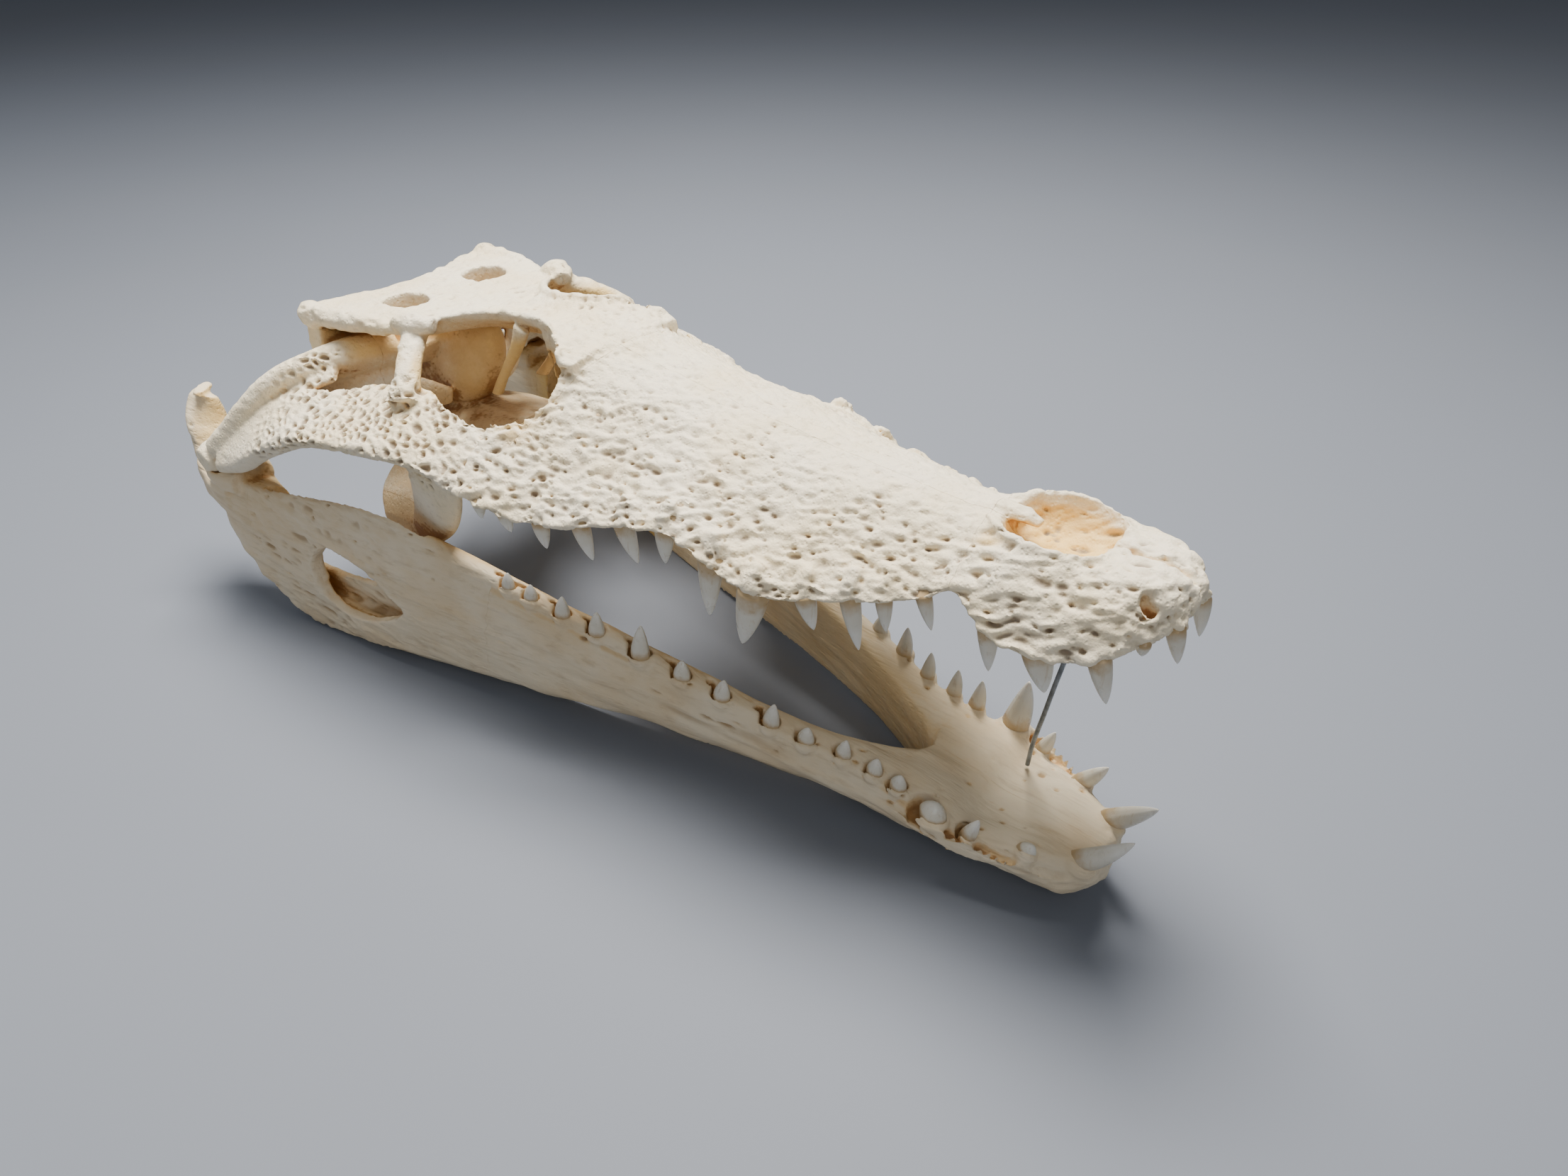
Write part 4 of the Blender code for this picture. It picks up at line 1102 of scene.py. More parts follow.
@dataclass(frozen=True)
class EnamelFinish:
    """Tooth enamel: grey white towards the tip, stained yellow brown at the root, finely ribbed."""

    tip: tuple[float, float, float] = (0.80, 0.78, 0.70)
    body: tuple[float, float, float] = (0.70, 0.66, 0.55)
    root: tuple[float, float, float] = (0.50, 0.36, 0.19)

    def material(self) -> bpy.types.Material:
        """Make the finish from the stored height on the crown and noise along it.

        Returns:
            The material.
        """
        bench = NodeBench(Sheen.ENAMEL.value)
        rise = bench.attribute("rise")
        cloud = bench.noise(bench.place, 180.0, 5.0)
        level = bench.math("ADD", rise, bench.math("MULTIPLY", bench.math("SUBTRACT", cloud, 0.5), 0.5))
        colour = bench.mix(bench.ramp(level, 0.35, 0.85), (*self.body, 1), (*self.tip, 1))
        colour = bench.mix(bench.ramp(level, 0.34, 0.02), colour, (*self.root, 1))
        cracks = bench.ramp(bench.noise(bench.stretched((1.0, 1.0, 0.12)), 900.0, 3.0), 0.56, 0.7)
        colour = bench.mix(bench.math("MULTIPLY", cracks, 0.3), colour, (*self.root, 1))
        bench.feed(bench.shader.inputs["Base Color"], colour)
        bench.feed(bench.shader.inputs["Roughness"], bench.ramp(cloud, 0.25, 0.75, 0.24, 0.42))
        bench.shader.inputs["Subsurface Weight"].default_value = 0.12
        bench.shader.inputs["Subsurface Radius"].default_value = (0.003, 0.002, 0.0014)
        bench.bump(bench.noise(bench.stretched((1.0, 1.0, 0.15)), 1400.0, 3.0), 0.0002, 0.4)
        return bench.material


@dataclass(frozen=True)
class SteelFinish:
    """Thin drawn grey wire, dulled in patches."""

    colour: tuple[float, float, float] = (0.30, 0.34, 0.38)
    dull: tuple[float, float, float] = (0.16, 0.18, 0.20)

    def material(self) -> bpy.types.Material:
        """Make the finish from noise stretched along the wire.

        Returns:
            The material.
        """
        bench = NodeBench(Sheen.STEEL.value)
        cloud = bench.noise(bench.place, 220.0, 4.0)
        drawn = bench.noise(bench.stretched((1.0, 1.0, 0.06)), 2500.0, 3.0)
        colour = bench.mix(bench.ramp(cloud, 0.35, 0.7), (*self.colour, 1), (*self.dull, 1))
        bench.feed(bench.shader.inputs["Base Color"], colour)
        bench.shader.inputs["Metallic"].default_value = 0.85
        bench.feed(bench.shader.inputs["Roughness"], bench.ramp(drawn, 0.3, 0.7, 0.32, 0.52))
        bench.bump(drawn, 0.0001, 0.3)
        return bench.material


@dataclass
class Bones:
    """One body of bones: its shapes, openings, sutures, relief and finish."""

    name: str
    frame: BoneFrame
    grain: float
    softenings: int
    nodes: tuple[str, ...]
    relief: Callable[[Array, Array], Array]
    yellow_hollow_shade: Callable[[Array, Array], Array]
    sheen: Sheen
    pieces: list[bpy.types.Object] = field(default_factory=list)

    def shapes(self) -> list[Shape]:
        """Closed shapes that are joined, the largest first."""
        raise NotImplementedError

    def openings(self) -> list[Shape]:
        """Closed shapes that are cut away before the fine mesh is made."""
        raise NotImplementedError

    def additions(self) -> list[Shape]:
        """Closed shapes that are joined after the openings."""
        return []

    def sutures(self) -> list[Shape]:
        """Thin walls that part the bones."""
        raise NotImplementedError

    def build(self) -> None:
        """Join, open, refine, carve and part the bones."""
        first, *others = self.shapes()
        body = first.to_object(self.name, WORKSHOP)
        combine(body, others, "UNION")
        combine(body, self.openings(), "DIFFERENCE")
        if self.additions():
            combine(body, self.additions(), "UNION")
        refine(body, self.grain, self.softenings)
        self.carve(body.data)
        combine(body, self.sutures(), "DIFFERENCE")
        self.part(body)

    def carve(self, mesh: bpy.types.Mesh) -> None:
        """Move every point along its normal by the relief, but never below the floor.

        Args:
            mesh: the fine mesh, which also keeps the relief under its name.
        """
        points, normals = read_points(mesh)
        height = self.relief(self.frame.local(points), self.frame.local_turn(normals))
        write_value(mesh, "relief", height)
        points = points + normals * height[:, None] * MM
        points[:, 2] = np.maximum(points[:, 2], 0.0)
        mesh.vertices.foreach_set("co", points.astype(np.float32).ravel())
        mesh.update()

    def part(self, body: bpy.types.Object) -> None:
        """Split the cut body into closed pieces and give each to the node whose box it fits.

        Args:
            body: the object that the sutures have cut through.
        """
        bpy.ops.object.select_all(action="DESELECT")
        body.select_set(True)
        bpy.context.view_layer.objects.active = body
        bpy.ops.object.mode_set(mode="EDIT")
        bpy.ops.mesh.select_all(action="SELECT")
        bpy.ops.mesh.separate(type="LOOSE")
        bpy.ops.object.mode_set(mode="OBJECT")
        loose = list(bpy.context.selected_objects)
        boxes = {thing.name: read_points(thing.data)[0] for thing in loose}
        boxes = {name: (p.min(0), p.max(0)) for name, p in boxes.items()}
        chosen: dict[str, list[str]] = {}
        for node in self.nodes:
            low, high = (np.array(corner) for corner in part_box(node))
            best = max(boxes, key=lambda name: box_match(low, high, *boxes[name]))
            chosen.setdefault(best, []).append(node)
        for thing in loose:
            if thing.name not in chosen:
                LOG.info("dropped a scrap of %d faces", len(thing.data.polygons))
                bpy.data.objects.remove(thing)
                continue
            nodes = chosen[thing.name]
            WORKSHOP.objects.unlink(thing)
            SHOW.objects.link(thing)
            thing.name = f"{nodes[0]}_bone"
            thing.data.name = thing.name
            thing.data.shade_smooth()
            thing.data.set_sharp_from_angle(angle=SHARP_ANGLE)
            LOG.info("%s stands for %s, %d faces", thing.name, nodes, len(thing.data.polygons))
            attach(thing, "root")
            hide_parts(*nodes)
            self.pieces.append(thing)

    def dress(self, material: bpy.types.Material) -> None:
        """Store where the hollows get yellow painted shade and give every piece the finish.

        Args:
            material: the bones' finish.
        """
        for piece in self.pieces:
            points, normals = read_points(piece.data)
            write_value(piece.data, "yellow_hollow_shade",
                        self.yellow_hollow_shade(self.frame.local(points), self.frame.local_turn(normals)))
            piece.data.materials.clear()
            piece.data.materials.append(material)


def box_match(low: Array, high: Array, other_low: Array, other_high: Array) -> float:
    """Shared volume of two boxes over the volume that either takes.

    Args:
        low: the first box's lower corner.
        high: its upper corner.
        other_low: the second box's lower corner.
        other_high: its upper corner.

    Returns:
        A share from 0 to 1.
    """
    shared = np.prod(np.clip(np.minimum(high, other_high) - np.maximum(low, other_low), 0, None))
    return float(shared / (np.prod(high - low) + np.prod(other_high - other_low) - shared + 1e-12))


def two_sided(names: Sequence[str]) -> tuple[str, ...]:
    """Names of nodes on both sides."""
    return tuple(f"{name}_{word}" for name in names for word in SIDES)


def upper_root(tooth: tuple, side: float) -> Array:
    """Where an upper tooth leaves the bone."""
    s, _, radius, _, _ = tooth
    return np.array([s, side * (half_width(s) - UPPER_ROW_INSET - 0.3 * radius), tooth_edge(s) + 0.5])


def lower_root(tooth: tuple, side: float) -> Array:
    """Where a lower tooth leaves the bone."""
    s = tooth[0]
    return np.array([s, side * (jaw_out(s) - LOWER_ROW_INSET), jaw_top(s) - 0.5])


class Cranium(Bones):
    """The upper skull."""

    def __init__(self) -> None:
        """Name its nodes and finish."""
        super().__init__("cranium", CRANIUM_FRAME, CRANIUM_GRAIN, 5,
                         ("premaxilla", "nasals", "frontal", "skull_table", "braincase", "palatines",
                          "pterygoid") + two_sided(("maxilla", "jugal", "quadrate", "ectopterygoid")),
                         CraniumRelief(), yellow_shade_cranium, Sheen.CRANIUM)

    def rostrum(self) -> Shape:
        """The solid snout.

        Each section falls from the midline along the flank's curve to the tooth margin, and
        returns under the palate.

        Returns:
            The closed shape.
        """
        s = np.concatenate([[0.3, 1.2, 2.2], np.arange(3.5, SNOUT_END, 1.8), [SNOUT_END]])
        wide, edge, top, roof = half_width(s), tooth_edge(s), snout_top(s), curve(PALATE)(s)
        u = np.linspace(0.0, 1.0, 26)
        back = np.clip((s - FLANK_CHANGE[0]) / (FLANK_CHANGE[1] - FLANK_CHANGE[0]), 0, 1)[:, None]
        fall = curve(FLANK_FRONT)(u) * (1 - back) + curve(FLANK_BACK)(u) * back
        y = wide[:, None] * u
        z = top[:, None] - (top - edge)[:, None] * fall
        corners = [(0.995, edge + 0.5), (0.95, edge - 0.2), (0.8, edge + 0.5), (0.62, roof),
                   (0.3, roof + 1.0), (0.0, roof + 1.5)]
        under = open_path(np.stack([np.stack([wide * k, level], -1) for k, level in corners]), 4)
        y = np.concatenate([y, under[..., 0].T], 1)
        z = np.concatenate([z, under[..., 1].T], 1)
        y, z = np.concatenate([y, -y[:, -2:0:-1]], 1), np.concatenate([z, z[:, -2:0:-1]], 1)
        return loft(np.stack([s[:, None] + 0 * y, y, z], -1), self.frame)

    def deck(self) -> Shape:
        """Forehead bar and skull table, dished between raised rims.

        Returns:
            The closed shape.
        """
        s = np.arange(238, 401.5, 2.0)
        wide, middle, rim = curve(DECK_HALF_WIDTH)(s), curve(DECK_MIDLINE)(s), curve(DECK_RIM)(s)
        tuck = 1.0 - 0.45 * ramp(s, 252, 268) * (1 - ramp(s, 312, 330))
        shares = [(0.0, 0.0, 0.0), (0.45, 0.25, 0.0), (0.85, 1.0, 0.0), (1.0, 0.8, -1.5),
                  (1.0, 0.6, 1.5 - DECK_DEPTH), (0.85, 0.6, -DECK_DEPTH),
                  (0.4, 0.0, -DECK_DEPTH - 1.0)]
        y = np.stack([wide * share * (tuck if drop < -3 else 1.0) for share, _, drop in shares], 1)
        z = np.stack([middle + (rim - middle) * lift + drop for _, lift, drop in shares], 1)
        y, z = np.concatenate([y, -y[:, :0:-1]], 1), np.concatenate([z, z[:, :0:-1]], 1)
        return loft(round_ring(np.stack([s[:, None] + 0 * y, y, z], -1), 3), self.frame)

    def cheek(self, side: float) -> Shape:
        """Sloping bar below the eye socket and back to the jaw joint.

        Args:
            side: -1 for the animal's right, 1 for its left.

        Returns:
            The closed shape.
        """
        s = np.arange(238, 425, 2.0)
        top_y, top_z = curve(BAR_TOP_Y)(s), curve(BAR_TOP_Z)(s)
        out_y, out_z = curve(BAR_OUT_Y)(s), curve(BAR_OUT_Z)(s)
        inside = np.clip((306 - s) / 60, 0, 1) * 14.0
        corners = [(top_y - 3, top_z - 1), (top_y + 1, top_z + 0.5),
                   (0.6 * top_y + 0.4 * out_y + 2.5, 0.6 * top_z + 0.4 * out_z + 2),
                   (out_y + 0.3, out_z + 5), (out_y - 1, out_z),
                   (out_y - BAR_WALL - inside, out_z - 2), (top_y - 4, 0.5 * top_z + 0.5 * out_z - 2)]
        y = np.stack([c[0] for c in corners], 1) * side
        z = np.stack([c[1] for c in corners], 1)
        return loft(round_ring(np.stack([s[:, None] + 0 * y, y, z], -1), 4), self.frame)

    def wing(self, side: float) -> Shape:
        """Pterygoid plate that falls away sideways to a thick outer edge.

        Args:
            side: -1 for the animal's right, 1 for its left.

        Returns:
            The closed shape.
        """
        rows = [(-4, 290, 384, -9, 5.0), (8, 294, 382, -10, 4.5), (20, 314, 374, -13, 3.0),
                (34, 326, 370, -19, 2.8), (47, 330, 371, -28, 3.0), (55.5, 329, 369, -36, 4.0),
                (60.5, 334, 363, -43.5, 3.4)]
        y, front, back, z, thick = open_path(np.array(rows, float), 6).T[..., None]
        inset = np.array([0, 5, -5, 0, 0, -5, 5, 0], float)
        end = np.array([0, 0, 1, 1, 1, 1, 0, 0], float)
        lift = np.array([-0.4, -1, -1, -0.4, 0.4, 1, 1, 0.4])
        s = front * (1 - end) + back * end + inset
        rings = np.stack([s, y * side + 0 * s, z + thick * lift], -1)
        return loft(round_ring(rings, 4), self.frame)

    def side_shapes(self, side: float) -> list[Shape]:
        """Make what is joined on one side.

        Args:
            side: -1 for the animal's right, 1 for its left.

        Returns:
            Closed shapes, and last the swellings round the teeth.
        """
        f = self.frame
        shapes = [
            self.cheek(side), self.wing(side),
            # quadrate's thick limb, from the jaw joint up to the braincase
            limb([(433, 91, -11), (426, 88, -6), (414, 81, 6), (400, 70, 20), (387, 57, 26),
                  (376, 41, 29), (369, 24, 28), (366, 10, 28)],
                 [13, 13, 13, 12, 12, 11, 10, 9], [6.5, 7.5, 7, 6.5, 7, 8, 9, 9], f,
                 up=(1.0, 0.0, 1.0), square=2.6, side=side),
            # upright bar behind the eye socket
            limb([(330, 37, 48), (322, 46, 43), (313, 56, 36), (308, 64, 28)], [6.5, 5.5, 5.5, 8],
                 [5, 4.5, 4.5, 5], f, side=side),
            # pillar from the brow to the palate
            limb([(262, 18, 52), (266, 14, 36), (268, 11, 20), (268, 8, 6)], [3, 2.4, 2.4, 3.5],
                 [8, 4.5, 4, 6], f, up=(1.0, 0.0, 0.0), side=side),
            # outer palate bone, down to the wing
            limb([(294, 71, 13), (295, 68, 3), (301, 65, -11), (313, 62, -27), (331, 60, -43)],
                 [4, 4, 4, 4, 3.5], [19, 18, 15, 12, 7], f, up=(1.0, 0.0, 0.0), square=2.6, side=side),
            # knuckle of the jaw joint
            limb([(436, 77, -14), (436, 84, -14), (436, 91, -14), (436, 98, -14), (436, 105, -14)],
                 [5.5, 8, 7, 8, 5.5], [5.5, 8, 7, 8, 5.5], f, side=side),
            # sheet between quadrate and cheek bar
            limb([(412, 82, 3), (400, 76, 14), (386, 66, 23), (373, 56, 28)], [7, 8, 9, 8],
                 [2.5, 2.6, 2.6, 2.4], f, up=(0.05, 0.55 * side, 0.8), square=2.6, side=side),
            # wall from the quadrate in to the throat
            limb([(419, 77, -6), (410, 70, 1), (398, 60, 8), (384, 48, 11), (370, 36, 10),
                  (360, 24, 6), (354, 14, 3)], [2.2, 2.4, 2.4, 2.2, 2.2, 2.2, 1.8],
                 [9, 12, 13, 13, 12, 8, 4], f, side=side),
            # thick outer rim of the skull table, and its front corner
            limb([(398, 47.5, 47.3), (380, 48, 47.4), (360, 45, 47.4), (344, 42, 46.8)],
                 [4.5, 5, 4.5, 3.5], [5, 5, 4.6, 3.6], f, side=side),
            limb([(337, 41, 49.5), (327, 40, 51), (318, 35, 50)], [4, 6, 4], [3.5, 5.2, 3.5], f,
                 side=side),
            # thin strut inside the eye socket
            limb([(286, 14.5, 48), (293, 14.5, 38), (306, 14.5, 24), (318, 13, 11), (326, 11, 2)],
                 [3, 2.4, 2.2, 2.4, 3.2], [4, 2.8, 2.4, 2.8, 4], f, up=(1.0, 0.0, 0.0), side=side),
            # raised brow
            limb([(250, 27, 50.5), (258, 22.5, 53), (266, 17.5, 54), (278, 14.8, 53.4),
                  (292, 13.4, 52.6), (304, 15.4, 52), (314, 21, 51.6), (323, 31.5, 51.2)], 1.9,
                 [1.4, 2.0, 2.0, 1.8, 1.8, 1.8, 1.8, 1.4], f, side=side),
            # knobs at the table's rear corner and the brow's front
            lump((395, 49, 46.8), (8.5, 6, 6.4), f, side), lump((384, 49, 49), (7, 4, 3.6), f, side),
            lump((251, 28, 48.6), (7, 4, 3), f, side),
            # rim of the nostril
            limb([(28, 9, 20.6), (38, 15.5, 20.6), (50, 16.5, 21.6), (60, 12.5, 22.0), (68, 7, 21.4)],
                 [2.0, 2.6, 2.6, 2.4, 1.5], [1.6, 2.2, 2.2, 2.0, 1.4], f, side=side),
        ]
        for tooth in UPPER_TEETH:
            _, _, radius, forward, outward = tooth
            s, y, z = upper_root(tooth, side)
            shapes.append(limb([(s + 1.5 * forward, y - side * 5.5, z + 9), (s, y - side * 2.0, z + 4),
                                (s - forward, y + side * outward, z - 0.2)],
                               np.array([0.7, 1.05, 1.12]) * radius, np.array([0.9, 1.2, 1.25]) * radius,
                               f, up=(1.0, 0.0, 0.0)))
        return shapes

    def shapes(self) -> list[Shape]:
        """Snout, deck, braincase, palate and both sides.

        Returns:
            Closed shapes.
        """
        f = self.frame
        shapes = [
            self.rostrum(), self.deck(),
            # braincase, its rear wall and the knob that bears the neck
            limb([(331, 0, 40), (338, 0, 33), (349, 0, 26), (362, 0, 20), (380, 0, 17), (396, 0, 15),
                  (404, 0, 15)], [3, 8, 11, 14, 18, 19, 14], [5, 13, 21, 26, 28, 27, 20], f, square=2.8),
            limb([(395, -52, 36), (394, -30, 33), (393, 0, 31), (394, 30, 33), (395, 52, 36)],
                 6.0, [8, 11, 13, 11, 8], f, square=3.0),
            limb([(396, 0, 13), (404, 0, 12), (409, 0, 11), (412, 0, 11)], [7, 8, 6.5, 3],
                 [6, 7, 5.5, 2.5], f),
            # palate between the eye sockets
            limb([(196, 0, 5), (220, 0, 7), (250, 0, 6), (280, 0, 2), (306, 0, -6)],
                 [15, 12, 10.5, 12, 18], 6.0, f, square=2.6),
        ]
        for side in SIDES.values():
            shapes += self.side_shapes(side)
        return shapes

    def openings(self) -> list[Shape]:
        """Nostril, eye sockets, windows of the temple and palate, and small holes.

        Returns:
            Closed shapes.
        """
        f = self.frame
        ahead = (1.0, 0.0, 0.0)
        cutters = [
            # nostril
            limb([(25.5, 0, 24), (28, 0, 25), (33, 0, 25), (44, 0, 25), (56, 0, 25), (62, 0, 25.5),
                  (66, 0, 25)], [4, 9.5, 14, 17, 14.5, 9, 4], [5, 10, 13.5, 15.5, 13.5, 9.5, 5], f,
                 square=2.4),
            # groove down the tip's midline
            limb([(-2, 0, 14), (3, 0, 19), (12, 0, 22), (24, 0, 22), (30, 0, 20)],
                 [1.0, 1.2, 1.5, 1.7, 1.7], [3.0, 3.5, 4.0, 4.5, 4.5], f),
            # hole for the spinal cord
            limb([(386, 0, 30), (420, 0, 30)], 6.5, 6.0, f),
            # air passage between the eye sockets
            limb([(226, 0, 26), (231, 0, 26), (250, 0, 27), (270, 0, 28)], [24, 32, 42, 44],
                 [7, 10, 14, 15], f, square=2.6),
            # hollow rear edge of the skull table
            limb([(437, 0, 38), (437, 0, 70)], 56, 47, f, up=ahead, sides=64),
        ]
        for side in SIDES.values():
            cutters += [
                # eye socket, palate window, table window and the lower front tooth's hole
                limb([(276, 33, -6), (278, 36, 20), (280, 38, 70)], 21, [34, 34.5, 36], f, up=ahead,
                     side=side, sides=48),
                limb([(256, 27, -30), (260, 28, 0), (264, 28, 24)], [13, 13, 14], [48, 48, 44], f,
                     up=ahead, side=side, sides=48),
                limb([(360, 21, 30), (360, 21.5, 44), (360, 22, 60)], [8, 9, 10], [11, 12, 13], f,
                     up=ahead, side=side),
                limb([(10.5, 15, -10), (10.5, 15, 30)], 2.0, 2.6, f, up=ahead, side=side),
            ]
        return cutters

    def additions(self) -> list[Shape]:
        """The nasal bones' tongue, which reaches into the nostril."""
        return [limb([(78, 0, 18.5), (70, 0, 20.6), (62, 0, 21.2), (57, 0, 20.8), (52.5, 0, 19.2)],
                     [7, 5, 4, 3.4, 1.2], [3, 3, 2.6, 2.2, 1.0], self.frame)]

    def sutures(self) -> list[Shape]:
        """Walls between the bones, each a little past the one that it meets.

        Returns:
            Thin closed shapes.
        """
        f = self.frame

        def across(s: float, half: float, low: float, high: float) -> list:
            """Corners of an upright wall across the skull."""
            return [(s, -half, low), (s, half, low), (s, half, high), (s, -half, high)]

        def level(z: float, front: float, back: float, near: float, out: float) -> list:
            """Corners of a level wall."""
            return [(front, near, z), (back, near, z), (back, out, z), (front, out, z)]

        def along(y: float, front: float, back: float, low: float, high: float) -> list:
            """Corners of an upright wall along the skull."""
            return [(front, y, low), (back, y, low), (back, y, high), (front, y, high)]

        def slope(near: float, out: float, low: float, high: float) -> list:
            """Corners of the wall that leans back from the brow to the last tooth."""
            foot, lean = BROW_SUTURE
            return [(foot - lean * z, y, z) for y, z in ((near, low), (out, low), (out, high),
                                                         (near, high))]

        def plug(low: float, high: float, half: float) -> list:
            """Corners of a narrow wall that crosses both walls from brow to tooth where they lap."""
            foot, lean = BROW_SUTURE
            return [(foot - lean * z + shift, BROW_SUTURE_LAP, z) for z, shift in
                    ((low, -half), (low, half), (high, half), (high, -half))]

        ahead, up = (1, 0, 0), (0, 0, 1)
        walls = [
            wavy_wall(across(68, 120, -60, 60), ahead, f),
            wavy_wall([(60, 0, -60), (231, 0, -60), (231, 0, 36), (60, 0, 12.5)], (0, 1, 0), f, 0.3),
            wavy_wall(along(0, 225, 248, 15, 38), (0, 1, 0), f, 0.0),
            wavy_wall(slope(-18, 18, 14, 65), (1, 0, 0.6), f),
            wavy_wall(across(229, 20, -30, 26), ahead, f, 0.2),
            wavy_wall(across(288, 24, -30, 15), ahead, f, 0.2),
            wavy_wall(across(318, 37, 23, 70), ahead, f, 0.3),
            wavy_wall(level(41.2, 316.9, 343, -31, 31), up, f, 0.1),
            wavy_wall(level(41.2, 337, 414, -64, 64), up, f, 0.1),
            wavy_wall(level(-2.6, 329, 414, -33, 33), up, f, 0.1),
            wavy_wall(level(12, 254, 327, -24, 24), up, f, 0.2),
            wavy_wall([(248, -24, 15.5), (256, -24, 11.5), (256, 24, 11.5), (248, 24, 15.5)],
                      (0.45, 0, 0.9), f, 0.0),
        ]
        for side in SIDES.values():
            walls += [
                wavy_wall(slope(15, 120, -25, 65), (1, 0, 0.6), f, 0.5, side),
                wavy_wall([(60, -0.6, 10.7), (243, -0.6, 34.1), (243, 18, 71.5), (60, 18, 48)],
                          (0, 1, -0.5), f, 0.4, side),
                wavy_wall(along(50.6, 221, 273, -30, 80), (0, 1, 0), f, 0.2, side),
                wavy_wall(plug(12, 66, 1.8), (0, 1, 0), f, 0.0, side),
                wavy_wall(along(38, 346, 420, -30, 42), (0, 1, 0), f, 0.1, side),
                wavy_wall([(354, 54, -20), (354, 118, -20), (354, 118, 50), (354, 54, 50)], ahead, f,
                          0.5, side),
                wavy_wall(level(35.6, 296, 326, 48, 78), up, f, 0.2, side),
                wavy_wall(level(1.0, 268, 334, 50, 88), up, f, 0.2, side),
                wavy_wall(along(55.6, 296, 376, -70, -20), (0, 1, 0), f, 0.2, side),
            ]
        return walls


